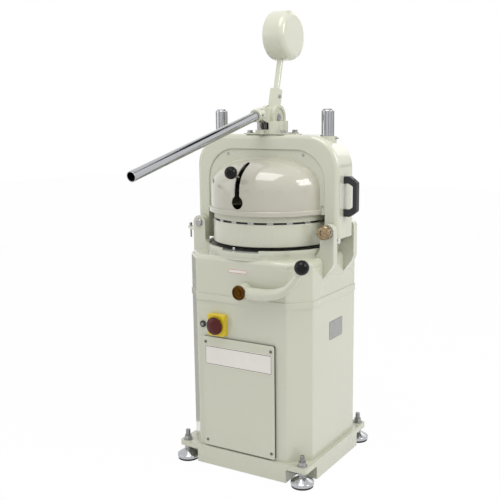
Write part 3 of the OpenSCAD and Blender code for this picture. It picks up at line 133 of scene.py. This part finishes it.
class Value:
    """A shader output that takes part in Python arithmetic."""

    def __init__(self, finish, socket):
        self.finish = finish
        self.socket = socket

    def maths(self, operation, a, b):
        return self.finish.node("ShaderNodeMath", {"operation": operation}, {0: a, 1: b})

    def __add__(self, other):
        return self.maths("ADD", self, other)

    __radd__ = __add__

    def __sub__(self, other):
        return self.maths("SUBTRACT", self, other)

    def __rsub__(self, other):
        return self.maths("SUBTRACT", other, self)

    def __mul__(self, other):
        return self.maths("MULTIPLY", self, other)

    __rmul__ = __mul__

    def __pow__(self, other):
        return self.maths("POWER", self, other)

    def between(self, low, high):
        """0 at low, 1 at high, clamped."""
        return self.finish.node("ShaderNodeMapRange", {"clamp": True},
                                {"Value": self, "From Min": low, "From Max": high})


class Finish:
    """A material under construction."""

    def __init__(self, name, **constants):
        self.material = bpy.data.materials.new(name)
        self.material.use_nodes = True
        self.tree = self.material.node_tree
        self.shader = self.tree.nodes["Principled BSDF"]
        self.place = self.node("ShaderNodeTexCoord", output="Object")
        self.feed(**{key.replace("_", " ").title().replace("Ior", "IOR"): value for key, value in constants.items()})

    def put(self, socket, value):
        """One socket from a value or a link."""
        if isinstance(value, Value):
            self.tree.links.new(value.socket, socket)
        elif isinstance(value, (tuple, list)) and len(value) == 3 and socket.type == "RGBA":
            socket.default_value = (*value, 1.0)
        else:
            socket.default_value = value

    def node(self, kind, settings=None, sockets=None, output=0):
        """Any node: its settings first, then its sockets."""
        made = self.tree.nodes.new(kind)
        for name, setting in (settings or {}).items():
            setattr(made, name, setting)
        for name, value in (sockets or {}).items():
            self.put(made.inputs[name], value)
        return Value(self, made.outputs[output])

    def feed(self, **sockets):
        """Sockets of the shader by name."""
        for name, value in sockets.items():
            self.put(self.shader.inputs[name], value)

    def noise(self, scale, detail=3.0, rough=0.5, stretch=None):
        """Noise over the object, stretched along its axes where asked."""
        at = self.place
        if stretch:
            at = self.node("ShaderNodeMapping", None, {"Vector": at, "Scale": stretch})
        return self.node("ShaderNodeTexNoise", None,
                         {"Vector": at, "Scale": scale, "Detail": detail, "Roughness": rough})

    def axis(self, letter):
        """One coordinate in metres."""
        return self.node("ShaderNodeSeparateXYZ", None, {"Vector": self.place}, letter)

    def blend(self, mask, a, b):
        """Colour a where the mask is 0 and b where it is 1."""
        return self.node("ShaderNodeMix", {"data_type": "RGBA"}, {0: mask, 6: a, 7: b}, 2)

    def bump(self, height, strength, distance):
        """A bump on the shader's normal."""
        made = self.node("ShaderNodeBump", None, {"Height": height, "Strength": strength, "Distance": distance})
        self.feed(Normal=made)


def shade(rgb, factor):
    """A colour made lighter or darker."""
    return tuple(min(1.0, c * factor) for c in rgb)


def enamel(name, rgb, gloss, cast, near=0.0, near_rgb=None):
    """Stove enamel with tonal drift, orange peel and the slow waves of a casting.

    With near_rgb, what lies nearer the mid plane than near has that colour.
    """
    f = Finish(name, coat_weight=0.8, coat_roughness=0.05)
    drift = f.noise(1.8, 1.0).between(0.2, 0.8)
    fleck = f.noise(140.0, 2.0).between(0.62, 0.78)
    # Mottled darkening and extra roughness towards the floor, below 0.22 m
    darker_low = (1.0 - f.axis("Z").between(0.0, 0.22)) * f.noise(9.0, 2.0, 0.5).between(0.25, 0.85)
    tone = f.blend(drift, shade(rgb, 0.985), shade(rgb, 1.012))
    tone = f.blend(fleck * 0.05, tone, shade(rgb, 0.80))
    tone = f.blend(darker_low * 0.16, tone, (rgb[0] * 0.62, rgb[1] * 0.58, rgb[2] * 0.50))
    if near_rgb:
        far = f.node("ShaderNodeMath", {"operation": "ABSOLUTE"}, {0: f.axis("Y")}).between(near - 0.0004, near)
        tone = f.blend(far, near_rgb, tone)
    f.feed(**{"Base Color": tone, "Roughness": gloss + 0.03 * drift + 0.06 * darker_low})
    peel = f.noise(420.0, 2.0)
    if cast:
        peel = peel * 0.35 + f.noise(46.0, 2.0) * 0.8
    f.bump(peel, 0.06 if cast else 0.04, 0.0006)
    return f.material


def polished_chrome(name, rgb, lengthwise):
    """Chrome with faint lengthwise polish marks and handling haze."""
    f = Finish(name, metallic=1.0)
    lines = f.noise(1.0, 3.0, 0.6, lengthwise)
    haze = f.noise(9.0, 4.0, 0.6).between(0.42, 0.72)
    f.feed(**{"Base Color": f.blend(haze * 0.5, rgb, shade(rgb, 0.86)), "Roughness": 0.07 + 0.10 * haze + 0.06 * lines})
    f.bump(lines, 0.03, 0.0003)
    return f.material


def turned_steel(name, rgb, rough):
    """Plain steel with turning lines, tarnish and small pits."""
    f = Finish(name, metallic=1.0)
    tarnish = f.noise(60.0, 4.0, 0.6).between(0.40, 0.70)
    lines = f.noise(1.0, 2.0, 0.5, (60.0, 60.0, 2200.0))
    f.feed(**{"Base Color": f.blend(tarnish * 0.6, rgb, shade(rgb, 0.70)), "Roughness": rough + 0.16 * tarnish})
    f.bump(lines, 0.10, 0.0003)
    return f.material


def screw_thread(name, rgb, pitch):
    """Steel with the grooves of a thread round an upright stud."""
    f = Finish(name, metallic=1.0)
    wave = f.node("ShaderNodeTexWave", {"wave_type": "BANDS", "bands_direction": "Z", "wave_profile": "TRI"},
                  {"Vector": f.place, "Scale": math.pi / (10.0 * pitch)})
    grease = f.noise(90.0, 3.0).between(0.4, 0.7)
    # Painted shade: the thread grooves are darkened; grease darkens it further in patches
    groove_shade = 1.0 - wave
    f.feed(**{"Base Color": f.blend(groove_shade * 0.6 + grease * 0.2, rgb, shade(rgb, 0.35)),
              "Roughness": 0.28 + 0.2 * grease})
    f.bump(wave, 0.6, 0.0012)
    return f.material


def bearing_bronze(name, rgb, rough):
    """Bronze, polished on the rubbed faces and browned between."""
    f = Finish(name, metallic=1.0)
    brown = f.noise(70.0, 5.0, 0.65).between(0.38, 0.72)
    f.feed(**{"Base Color": f.blend(brown, rgb, (rgb[0] * 0.55, rgb[1] * 0.46, rgb[2] * 0.38)),
              "Roughness": rough + 0.22 * brown})
    f.bump(f.noise(300.0, 3.0), 0.05, 0.0004)
    return f.material


def moulded(name, rgb, rough, grain, shine):
    """Moulded plastic with a fine grain, scuffs and a trace of flour."""
    f = Finish(name, specular_ior_level=shine)
    scuff = f.noise(55.0, 5.0, 0.65).between(0.55, 0.80)
    dust = f.noise(230.0, 3.0).between(0.66, 0.80)
    pale = tuple(c * 0.8 + 0.05 for c in rgb)
    f.feed(**{"Base Color": f.blend(scuff * 0.12 + dust * 0.08, rgb, pale), "Roughness": rough + 0.18 * scuff})
    f.bump(f.noise(1500.0, 2.0), grain, 0.0003)
    return f.material


def machined(name, rgb, centre_x, paint=None, paint_z=0.0, paint_r=0.0):
    """Faced disc with turning rings about its axis and wipe marks.

    With paint, it has a painted rim from paint_z up and paint_r out, and inside it the top face is near-black, painted
    shade under the bell.
    """
    f = Finish(name)
    at = f.node("ShaderNodeMapping", None, {"Vector": f.place, "Location": (-centre_x, 0.0, 0.0)})
    rings = f.node("ShaderNodeTexWave", {"wave_type": "RINGS", "rings_direction": "Z"},
                   {"Vector": at, "Scale": 160.0, "Distortion": 0.6, "Detail": 1.0})
    wipe = f.noise(7.0, 5.0, 0.6).between(0.35, 0.70)
    tone = f.blend(wipe * 0.5 + rings * 0.15, rgb, shade(rgb, 0.72))
    bare = 1.0
    if paint:
        wide = (f.axis("X") ** 2.0 + f.axis("Y") ** 2.0) ** 0.5
        rim = f.axis("Z").between(paint_z - 0.0004, paint_z + 0.0004)
        rim = rim * wide.between(paint_r - 0.0004, paint_r + 0.0004)
        # Painted shade: the top face inside the painted rim, under the bell, is near-black
        shade_inside = f.axis("Z").between(paint_z - 0.012, paint_z - 0.010) * (1.0 - rim)
        bare = 1.0 - rim
        tone = f.blend(shade_inside, tone, (0.02, 0.02, 0.02))
        tone = f.blend(rim, tone, f.blend(wipe * 0.4, paint, shade(paint, 0.93)))
    f.feed(**{"Base Color": tone, "Metallic": 0.30 * bare, "Roughness": 0.34 + 0.16 * wipe})
    f.bump(rings, 0.08, 0.0003)
    return f.material


def rough_iron(name, rgb):
    """Unpainted or primed casting with sand texture and oil stains."""
    f = Finish(name, metallic=0.55)
    oil = f.noise(14.0, 5.0, 0.6).between(0.40, 0.70)
    f.feed(**{"Base Color": f.blend(oil, rgb, shade(rgb, 0.6)), "Roughness": 0.72 - 0.22 * oil})
    f.bump(f.noise(380.0, 4.0, 0.6), 0.30, 0.0008)
    return f.material


def black_rubber(name):
    """Rubber with bloom and wear."""
    f = Finish(name, specular_ior_level=0.35)
    bloom = f.noise(50.0, 5.0, 0.65).between(0.40, 0.75)
    f.feed(**{"Base Color": f.blend(bloom, (0.014, 0.014, 0.015), (0.055, 0.054, 0.050)),
              "Roughness": 0.62 + 0.22 * bloom})
    f.bump(f.noise(700.0, 3.0), 0.18, 0.0004)
    return f.material


def plate_print(name, rgb, border_rgb, middle, size, line, corner):
    """Bare plate: pale field with one printed outline, set out from the plate's middle on its own plane."""
    f = Finish(name, coat_weight=0.4, coat_roughness=0.12)
    at = f.node("ShaderNodeMapping", None, {"Vector": f.place, "Location": tuple(-c for c in middle)})
    parts = {k: f.node("ShaderNodeSeparateXYZ", None, {"Vector": at}, k) for k in "XYZ"}
    across = parts["Y"] if abs(middle[0]) > 0.25 else parts["X"]

    def outside(value, half):
        spread = f.node("ShaderNodeMath", {"operation": "ABSOLUTE"}, {0: value}) - (half - corner)
        return f.node("ShaderNodeMath", {"operation": "MAXIMUM"}, {0: spread, 1: 0.0})

    dx = outside(across, size[0] / 2)
    dz = outside(parts["Z"], size[1] / 2)
    reach = (dx * dx + dz * dz) ** 0.5 - corner
    band = reach.between(-2.2 * line, -2.1 * line) - reach.between(-1.1 * line, -1.0 * line)
    fade = f.noise(30.0, 4.0).between(0.35, 0.75)
    f.feed(**{"Base Color": f.blend(band, f.blend(fade * 0.3, rgb, shade(rgb, 0.90)), border_rgb),
              "Roughness": 0.30 + 0.15 * fade})
    f.bump(f.noise(500.0, 2.0), 0.04, 0.0003)
    return f.material


# Meshes

def link(piece):
    """The piece in the scene."""
    bpy.context.scene.collection.objects.link(piece)
    return piece


def smooth(mesh, degrees):
    """Smooth faces, sharp past an angle, with normals weighted by area.

    Flat faces so stay flat up to an eased edge.
    """
    bm = bmesh.new()
    bm.from_mesh(mesh)
    limit = math.radians(degrees)
    for face in bm.faces:
        face.smooth = True
    for edge in bm.edges:
        edge.smooth = len(edge.link_faces) == 2 and edge.calc_face_angle(0.0) < limit
    bm.to_mesh(mesh)
    bm.free()
    corners, count = len(mesh.loops), len(mesh.polygons)
    vert_of = np.empty(corners, dtype=np.int32)
    mesh.loops.foreach_get("vertex_index", vert_of)
    sides, area, normal = np.empty(count, dtype=np.int32), np.empty(count), np.empty(count * 3)
    mesh.polygons.foreach_get("loop_total", sides)
    mesh.polygons.foreach_get("area", area)
    mesh.polygons.foreach_get("normal", normal)
    face_of = np.repeat(np.arange(count), sides)
    normal = normal.reshape(-1, 3)
    order = np.argsort(vert_of, kind="stable")
    around = np.bincount(vert_of, minlength=len(mesh.vertices))
    first = np.concatenate(([0], np.cumsum(around)[:-1]))
    mine = np.repeat(np.arange(corners), around[vert_of])
    step = np.arange(len(mine)) - np.repeat(np.cumsum(around[vert_of]) - around[vert_of], around[vert_of])
    other = order[first[vert_of[mine]] + step]
    a, b = face_of[mine], face_of[other]
    near = (np.einsum("ij,ij->i", normal[a], normal[b]) > math.cos(limit)) * area[b]
    made = np.zeros((corners, 3))
    np.add.at(made, mine, normal[b] * near[:, None])
    made /= np.maximum(np.linalg.norm(made, axis=1, keepdims=True), 1e-12)
    mesh.normals_split_custom_set(made.tolist())


def ease(bm, edges, width, segments):
    """Round edges of a mesh."""
    bmesh.ops.bevel(bm, geom=edges, offset=width, offset_type="OFFSET", affect="EDGES", segments=segments, profile=0.5,
                    material=-1, clamp_overlap=True, loop_slide=True)


def softened(node, width, body, finish, degrees=32.0, segments=2, wide=None):
    """A copy of a CAD node with its sharp edges eased, in place of the node.

    wide holds another width and a test for the edges that take it.
    """
    mesh = NODES[node].data.copy()
    mesh.materials.clear()
    mesh.materials.append(finish)
    bm = bmesh.new()
    bm.from_mesh(mesh)
    bmesh.ops.remove_doubles(bm, verts=bm.verts, dist=0.00002)
    bmesh.ops.dissolve_limit(bm, angle_limit=math.radians(0.4), use_dissolve_boundaries=False, verts=bm.verts,
                             edges=bm.edges, delimit=set())
    limit = math.radians(degrees)

    def sharp(chosen):
        return [e for e in bm.edges if len(e.link_faces) == 2 and e.calc_face_angle(0.0) > limit and chosen(e)]

    if wide:
        ease(bm, sharp(wide[1]), wide[0], 4)
    if width:
        ease(bm, sharp(lambda e: True), width, segments)
    bm.to_mesh(mesh)
    bm.free()
    smooth(mesh, degrees)
    piece = link(bpy.data.objects.new(node + "_eased", mesh))
    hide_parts(node)
    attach(piece, body)
    return piece


def new_piece(name, bm, body, finish, degrees=32.0):
    """A new piece from a bmesh, on its body."""
    mesh = bpy.data.meshes.new(name)
    bmesh.ops.recalc_face_normals(bm, faces=bm.faces)
    bm.to_mesh(mesh)
    bm.free()
    mesh.materials.append(finish)
    smooth(mesh, degrees)
    piece = link(bpy.data.objects.new(name, mesh))
    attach(piece, body)
    return piece


def rounded_plate(bm, width, height, thick, corner, place):
    """A thin plate with rounded corners and an eased rim, facing -Y before it is placed."""
    made = bmesh.ops.create_cube(bm, size=1.0)["verts"]
    bmesh.ops.scale(bm, vec=(width, thick, height), verts=made)
    upright = [e for e in {e for v in made for e in v.link_edges}
               if abs(e.verts[0].co.x - e.verts[1].co.x) < 1e-6 and abs(e.verts[0].co.z - e.verts[1].co.z) < 1e-6]
    bmesh.ops.bevel(bm, geom=upright, offset=corner, offset_type="OFFSET", affect="EDGES", segments=6, profile=0.5,
                    material=-1)
    rim = [e for e in bm.edges if len(e.link_faces) == 2 and all(v.co.y < 0.0 for v in e.verts)
           and e.calc_face_angle(0.0) > 1.0]
    bmesh.ops.bevel(bm, geom=rim, offset=thick * 0.3, offset_type="OFFSET", affect="EDGES", segments=2, profile=0.5,
                    material=-1)
    bmesh.ops.transform(bm, matrix=place, verts=bm.verts)


def facing(point, outward):
    """Placement that turns +Z to the outward direction at a point."""
    return Matrix.Translation(point) @ Vector((0, 0, 1)).rotation_difference(Vector(outward)).to_matrix().to_4x4()


def shared(name, make, *args):
    """A finish made once and used again by name."""
    return bpy.data.materials.get(name) or make(name, *args)


def dress(finish, *nodes):
    """A finish on CAD nodes that keep their shape."""
    for node in nodes:
        NODES[node].data.materials.clear()
        NODES[node].data.materials.append(finish)


def finishes():
    """The colours set in the scene."""
    return bpy.context.scene.rounder_finishes


# Operators

class ROUNDER_OT_castings(bpy.types.Operator):
    """Castings, cabinet and covers in ivory enamel"""

    bl_idname = "rounder.castings"
    bl_label = "Painted castings"

    def execute(self, context):
        c, p = finishes(), context.scene.rounder_plates
        cast = shared("ivory_casting", enamel, tuple(c.ivory), 0.26, True)
        sheet = shared("ivory_sheet", enamel, tuple(c.ivory), 0.22, False)
        bell = shared("ivory_bell", enamel, tuple(c.bell), 0.14, False, p.flange_face, tuple(c.ivory))
        for node, width, body in (
            ("plinth", 0.003, "base"), ("upper_housing", 0.003, "base"), ("rounding_lever", 0.002, "rounding_lever"),
            ("lever_post", 0.003, "head"), ("lever_yoke", 0.002, "press_lever"),
            ("counterweight", 0.0, "press_lever"), ("weight_stalk", 0.0, "press_lever"),
        ):
            softened(node, width, body, cast)
        across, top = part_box("front_cover")[1][0] + 0.002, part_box("front_cover")[1][2] + 0.002
        face = abs(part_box("head_casting")[0][1])

        def rim(edge):
            return all(abs(abs(v.co.y) - face) < 0.0005 and abs(v.co.x) < across and v.co.z < top for v in edge.verts)

        softened("head_casting", 0.003, "head", cast, wide=(0.008, rim))
        softened("cabinet", 0.0015, "base", sheet)
        # Painted shade: the sides of the service panel, behind its face, are near-black for the shadowed gap round it
        edge_shade = p.panel_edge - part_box("front_panel")[0][1]
        shade_edged = shared("ivory_edged", enamel, tuple(c.ivory), 0.22, False, edge_shade, (0.012, 0.012, 0.012))
        softened("front_panel", 0.0016, "base", shade_edged)
        softened("front_cover", 0.0012, "head", bell)
        rear = softened("rear_cover", 0.0003, "head", bell)
        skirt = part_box("rear_cover")[0][2] + 0.001
        for v in rear.data.vertices:
            if v.co.z < skirt and v.co.y > p.flange_face:
                v.co.z -= p.skirt_drop
        softened("outer_ring", 0.0, "carriage", cast)
        return {"FINISHED"}


class ROUNDER_OT_bright_metal(bpy.types.Operator):
    """Chrome, steel and bronze pieces"""

    bl_idname = "rounder.bright_metal"
    bl_label = "Bright metal"

    def execute(self, context):
        c = finishes()
        upright = shared("chrome_upright", polished_chrome, tuple(c.chrome), (500.0, 500.0, 3.0))
        softened("guide_columns", 0.0015, "carriage", upright)
        softened("foot_pads", 0.001, "base", upright)
        softened("plate_pins", 0.0005, "table", upright)
        tube = shared("chrome_tube", polished_chrome, tuple(c.chrome), (500.0, 6.0, 500.0))
        softened("lever_tube", 0.0008, "press_lever", tube)
        steel = shared("steel_turned", turned_steel, tuple(c.steel), 0.24)
        for node, width, body in (
            ("foot_nuts", 0.001, "base"), ("hinge_pin", 0.001, "base"), ("opening_stop", 0.0006, "base"),
            ("lock_spindle", 0.0012, "lock"), ("lever_shaft", 0.0008, "rounding_lever"), ("post_bolts", 0.0008, "head"),
            ("pivot_pin", 0.0008, "head"), ("rest_screw", 0.0006, "head"), ("grease_nipples", 0.0004, "head"),
            ("yoke_screws", 0.0006, "press_lever"), ("cut_lever", 0.0008, "cut_lever"),
        ):
            softened(node, width, body, steel)
        dress(shared("steel_thread", screw_thread, tuple(c.steel), 0.0025), "foot_studs")
        # Painted shade: the parts inside the bell and cabinet take a darkened copy of the steel
        dress(shared("steel_dark", turned_steel, tuple(c.shaded_steel), 0.34), "motor_pulley", "driven_pulley",
              "crank_shaft", "shaft_bearings", "guide_crank_1", "guide_crank_2", "guide_crank_3", "lift_rack",
              "knife_grid")
        dress(steel, "ring_spacers")
        bronze = shared("bronze_polished", bearing_bronze, tuple(c.bronze), 0.16)
        softened("lock_knob", 0.0012, "lock", bronze)
        dress(bronze, "column_bushes")
        cap = shared("bronze_dark", bearing_bronze, tuple(c.dark_bronze), 0.22)
        softened("lever_cap", 0.0008, "rounding_lever", cap)
        return {"FINISHED"}


class ROUNDER_OT_grips(bpy.types.Operator):
    """Ball knobs, bridge handle, switch and buttons"""

    bl_idname = "rounder.grips"
    bl_label = "Grips and switches"

    def execute(self, context):
        c = finishes()
        gloss = shared("black_gloss", moulded, tuple(c.black), 0.05, 0.01, 0.20)
        satin = shared("black_satin", moulded, shade(tuple(c.black), 5.0), 0.42, 0.10, 0.40)
        softened("lever_ball", 0.0, "rounding_lever", gloss, 40.0)
        softened("cut_knob", 0.0, "cut_lever", gloss, 40.0)
        softened("side_handle", 0.004, "head", satin, 40.0, 3)
        softened("reset_bezel", 0.001, "base", satin)
        softened("cable_gland", 0.0008, "base", satin)
        yellow = shared("yellow_switch", moulded, tuple(c.yellow), 0.28, 0.05, 0.5)
        softened("switch_box", 0.003, "base", yellow, 40.0, 3)
        red = shared("red_mushroom", moulded, tuple(c.red), 0.07, 0.01, 0.22)
        softened("stop_button", 0.002, "stop_button", red, 40.0, 3)
        grey = shared("grey_button", moulded, (0.30, 0.31, 0.31), 0.25, 0.04, 0.5)
        softened("reset_button", 0.001, "reset_button", grey, 40.0)
        return {"FINISHED"}


class ROUNDER_OT_press_and_drive(bpy.types.Operator):
    """Table, press plate, crosshead, motor and belt"""

    bl_idname = "rounder.press_and_drive"
    bl_label = "Press and drive"

    def execute(self, context):
        c = finishes()
        low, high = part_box("rounding_table")
        dress(shared("table_faced", machined, tuple(c.table_grey), (low[0] + high[0]) / 2), "rounding_table")
        dress(shared("press_faced", machined, tuple(c.table_grey), 0.0, tuple(c.ivory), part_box("ring_spacers")[1][2],
                     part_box("press_plate")[1][0] - 0.0012), "press_plate")
        dress(shared("iron_primed", rough_iron, (0.17, 0.175, 0.18)), "bearing_bridge", "crosshead")
        dress(shared("motor_enamel", enamel, (0.05, 0.075, 0.11), 0.35, True), "motor")
        dress(shared("rubber_black", black_rubber), "drive_belt", "foot_rubbers")
        return {"FINISHED"}


class ROUNDER_OT_screws(bpy.types.Operator):
    """Screw heads of the service panel, the bells and the handle"""

    bl_idname = "rounder.screws"
    bl_label = "Screw heads"

    def execute(self, context):
        steel = shared("steel_turned", turned_steel, tuple(finishes().steel), 0.24)
        # The panel screws take the steel darkened as painted shade
        dark = shared("steel_dark", turned_steel, tuple(finishes().shaded_steel), 0.34)
        softened("panel_screws", 0.0008, "base", dark)
        softened("cover_screws", 0.0008, "head", steel)
        softened("handle_screws", 0.0006, "head", steel)
        return {"FINISHED"}


class ROUNDER_OT_plates(bpy.types.Operator):
    """Bare plates on the panel, the side and the housing"""

    bl_idname = "rounder.plates"
    bl_label = "Bare plates"

    def execute(self, context):
        c, p = finishes(), context.scene.rounder_plates
        white, grey = tuple(c.plate_white), tuple(c.plate_grey)
        panel, side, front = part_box("front_panel")[0][1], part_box("cabinet")[1][0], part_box("cabinet")[0][1]
        back = p.sheet / 2
        for name, paint, place, turn, size, corner, line, rgb, border, slot in (
            ("door_plate", "door_plate_print", (-0.007, panel - back, p.door_z), 0.0,
             (p.door_width, p.door_height), 0.005, 0.0022, white, (0.10, 0.03, 0.025), "ivory_paint"),
            ("data_plate", "data_plate_print", (side + back, 0.011, p.data_z), 90.0,
             (p.data_width, p.data_height), 0.004, 0.0012, grey, (0.10, 0.10, 0.10), "steel"),
            ("front_badge", "badge_print", (-0.008, front - back, p.badge_z), 0.0,
             (p.badge_width, p.badge_height), 0.0095, 0.0018, white, (0.45, 0.05, 0.03), "ivory_paint"),
        ):
            bm = bmesh.new()
            at = Matrix.Translation(place) @ Matrix.Rotation(math.radians(turn), 4, "Z")
            rounded_plate(bm, size[0], size[1], p.sheet, corner, at)
            new_piece(name, bm, "base", plate_print(paint, rgb, border, place, size, line, corner))
        return {"FINISHED"}


class ROUNDER_OT_stage(bpy.types.Operator):
    """Camera, floor, lamps and room light"""

    bl_idname = "rounder.stage"
    bl_label = "Studio"

    def execute(self, context):
        s = context.scene.rounder_studio
        scene = context.scene
        scene.view_settings.view_transform = "Standard"
        self.camera(scene, s)
        self.floor()
        self.lamp("key", s.key, 1.6, (3.3, 0.1, 3.0), (0.0, 0.0, 0.9))
        self.lamp("front", s.front, 2.0, (0.2, -1.3, 4.1), (0.0, 0.0, 1.1))
        self.lamp("fill", s.fill, 2.4, (-3.0, -2.4, 2.2), (0.0, 0.0, 0.9))
        self.lamp("back", s.fill * 0.6, 1.8, (0.6, 3.0, 2.8), (0.0, 0.0, 1.0))
        self.room(scene, s)
        away = math.degrees(math.atan2(s.place[1], s.place[0]))
        upright = Matrix.Translation((s.flag_far, 0, s.flag_low + s.flag_tall / 2)) @ Matrix.Rotation(
            math.radians(90), 4, "Y")
        for i, (turn, width) in enumerate((
            (-150.0, 1.2), (-112.0, 0.9), (-72.0, 0.5), (-46.0, 0.7), (-18.0, 0.35), (10.0, 0.5),
            (34.0, 0.3), (58.0, 0.6), (86.0, 0.3), (114.0, 1.0), (152.0, 1.4), (180.0, 0.5),
        )):
            self.flag("flag_%d" % (i + 1), away + turn, upright, s.flag_tall, width, "flag_cloth", 0.035)
        overhead = Matrix.Translation((2.2, 0, 4.6)) @ Matrix.Rotation(math.radians(40), 4, "Y")
        self.flag("flag_overhead", 78.0, overhead, 0.9, 2.6, "flag_cloth", 0.035)
        self.flag("flag_floor", away - 150.0, Matrix.Translation((3.5, 0, 0.003)), 6.0, 1.8, "flag_paper", 0.40)
        return {"FINISHED"}

    def flag(self, name, degrees, place, tall, width, cloth, tone):
        """A card that only bright metal and gloss see."""
        bm = bmesh.new()
        bmesh.ops.create_grid(bm, x_segments=1, y_segments=1, size=0.5, matrix=Matrix.Rotation(
            math.radians(degrees), 4, "Z") @ place @ Matrix.Diagonal((tall, width, 1.0, 1.0)))
        mesh = bpy.data.meshes.new(name)
        bm.to_mesh(mesh)
        bm.free()
        card = link(bpy.data.objects.new(name, mesh))
        if bpy.data.materials.get(cloth) is None:
            f = Finish(cloth, specular_ior_level=0.0)
            dark, light = tone * 0.8, tone * 1.2
            f.feed(**{"Base Color": f.blend(f.noise(60.0), (dark,) * 3, (light,) * 3), "Roughness": 0.9})
        mesh.materials.append(bpy.data.materials[cloth])
        card.visible_camera = card.visible_diffuse = card.visible_shadow = card.visible_transmission = False

    def camera(self, scene, s):
        """The camera fitted to the photo."""
        data = bpy.data.cameras.new("photo_camera")
        data.sensor_width = 36.0
        data.lens = s.focal * data.sensor_width / s.frame_size
        data.shift_x = (s.frame_size / 2 - s.centre_x) / s.frame_size
        data.shift_y = (s.centre_y - s.frame_size / 2) / s.frame_size
        data.clip_end = 60.0
        eye = Vector(s.place)
        ahead = (Vector(s.target) - eye).normalized()
        right = ahead.cross(Vector((0, 0, 1))).normalized()
        up = right.cross(ahead)
        across = right * math.cos(s.roll) + up * math.sin(s.roll)
        above = up * math.cos(s.roll) - right * math.sin(s.roll)
        camera = link(bpy.data.objects.new("photo_camera", data))
        camera.matrix_world = Matrix((
            (across.x, above.x, -ahead.x, eye.x), (across.y, above.y, -ahead.y, eye.y),
            (across.z, above.z, -ahead.z, eye.z), (0.0, 0.0, 0.0, 1.0)))
        scene.camera = camera

    def floor(self):
        """A floor that is white to the eye and in reflections, and takes soft shadows."""
        bm = bmesh.new()
        bmesh.ops.create_grid(bm, x_segments=1, y_segments=1, size=12.0)
        mesh = bpy.data.meshes.new("studio_floor")
        bm.to_mesh(mesh)
        bm.free()
        floor = link(bpy.data.objects.new("studio_floor", mesh))
        f = Finish("floor_white", roughness=0.6, specular_ior_level=0.2)
        grain = f.noise(3.0, 2.0)
        f.feed(**{"Base Color": f.blend(grain, (0.93, 0.93, 0.93), (0.96, 0.96, 0.96))})
        path = f.tree.nodes.new("ShaderNodeLightPath")
        seen = Value(f, path.outputs["Is Camera Ray"])
        for ray in ("Is Glossy Ray", "Is Transmission Ray"):
            seen = seen.maths("MAXIMUM", seen, Value(f, path.outputs[ray]))
        glow = f.node("ShaderNodeEmission", None, {"Color": (1.0, 1.0, 1.0), "Strength": 1.0})
        mixed = f.node("ShaderNodeMixShader", None, {0: seen * 0.97, 1: Value(f, f.shader.outputs[0]), 2: glow})
        f.tree.links.new(mixed.socket, f.tree.nodes["Material Output"].inputs["Surface"])
        mesh.materials.append(f.material)

    def lamp(self, name, power, size, place, target):
        """A square soft light."""
        data = bpy.data.lights.new(name, "AREA")
        data.energy = power
        data.size = size
        lamp = link(bpy.data.objects.new(name, data))
        lamp.matrix_world = facing(Vector(place), Vector(place) - Vector(target))

    def room(self, scene, s):
        """A room that is white to the eye and in reflections, and dimmer as a light."""
        world = bpy.data.worlds.new("studio_room")
        scene.world = world
        world.use_nodes = True
        tree = world.node_tree
        background = tree.nodes["Background"]
        background.inputs["Color"].default_value = (1.0, 1.0, 1.0, 1.0)
        path = tree.nodes.new("ShaderNodeLightPath")
        seen = path.outputs["Is Camera Ray"]
        for name in ("Is Glossy Ray", "Is Transmission Ray"):
            either = tree.nodes.new("ShaderNodeMath")
            either.operation = "MAXIMUM"
            tree.links.new(seen, either.inputs[0])
            tree.links.new(path.outputs[name], either.inputs[1])
            seen = either.outputs[0]
        level = tree.nodes.new("ShaderNodeMapRange")
        level.inputs["To Min"].default_value = s.sky
        level.inputs["To Max"].default_value = 1.0
        tree.links.new(seen, level.inputs["Value"])
        tree.links.new(level.outputs["Result"], background.inputs["Strength"])


class ROUNDER_PT_panel(bpy.types.Panel):
    """Lists the pieces of the divider rounder."""

    bl_idname = "ROUNDER_PT_panel"
    bl_label = "Divider rounder"
    bl_space_type = "VIEW_3D"
    bl_region_type = "UI"
    bl_category = "Rounder"

    def draw(self, context):
        for operator in OPERATORS:
            self.layout.operator(operator.bl_idname)
        for group in ("rounder_finishes", "rounder_plates", "rounder_studio"):
            settings = getattr(context.scene, group)
            for name in settings.bl_rna.properties.keys():
                if name not in ("rna_type", "name"):
                    self.layout.prop(settings, name)


OPERATORS = (ROUNDER_OT_castings, ROUNDER_OT_bright_metal, ROUNDER_OT_grips, ROUNDER_OT_press_and_drive,
             ROUNDER_OT_screws, ROUNDER_OT_plates, ROUNDER_OT_stage)
CLASSES = (RounderFinishes, RounderPlates, RounderStudio, *OPERATORS, ROUNDER_PT_panel)


def register():
    for cls in CLASSES:
        bpy.utils.register_class(cls)
    bpy.types.Scene.rounder_finishes = PointerProperty(type=RounderFinishes)
    bpy.types.Scene.rounder_plates = PointerProperty(type=RounderPlates)
    bpy.types.Scene.rounder_studio = PointerProperty(type=RounderStudio)


def unregister():
    for group in ("rounder_finishes", "rounder_plates", "rounder_studio"):
        delattr(bpy.types.Scene, group)
    for cls in reversed(CLASSES):
        bpy.utils.unregister_class(cls)


def main():
    register()
    bpy.ops.rounder.castings()
    bpy.ops.rounder.bright_metal()
    bpy.ops.rounder.grips()
    bpy.ops.rounder.press_and_drive()
    bpy.ops.rounder.screws()
    bpy.ops.rounder.plates()
    bpy.ops.rounder.stage()


if __name__ == "__main__":
    main()
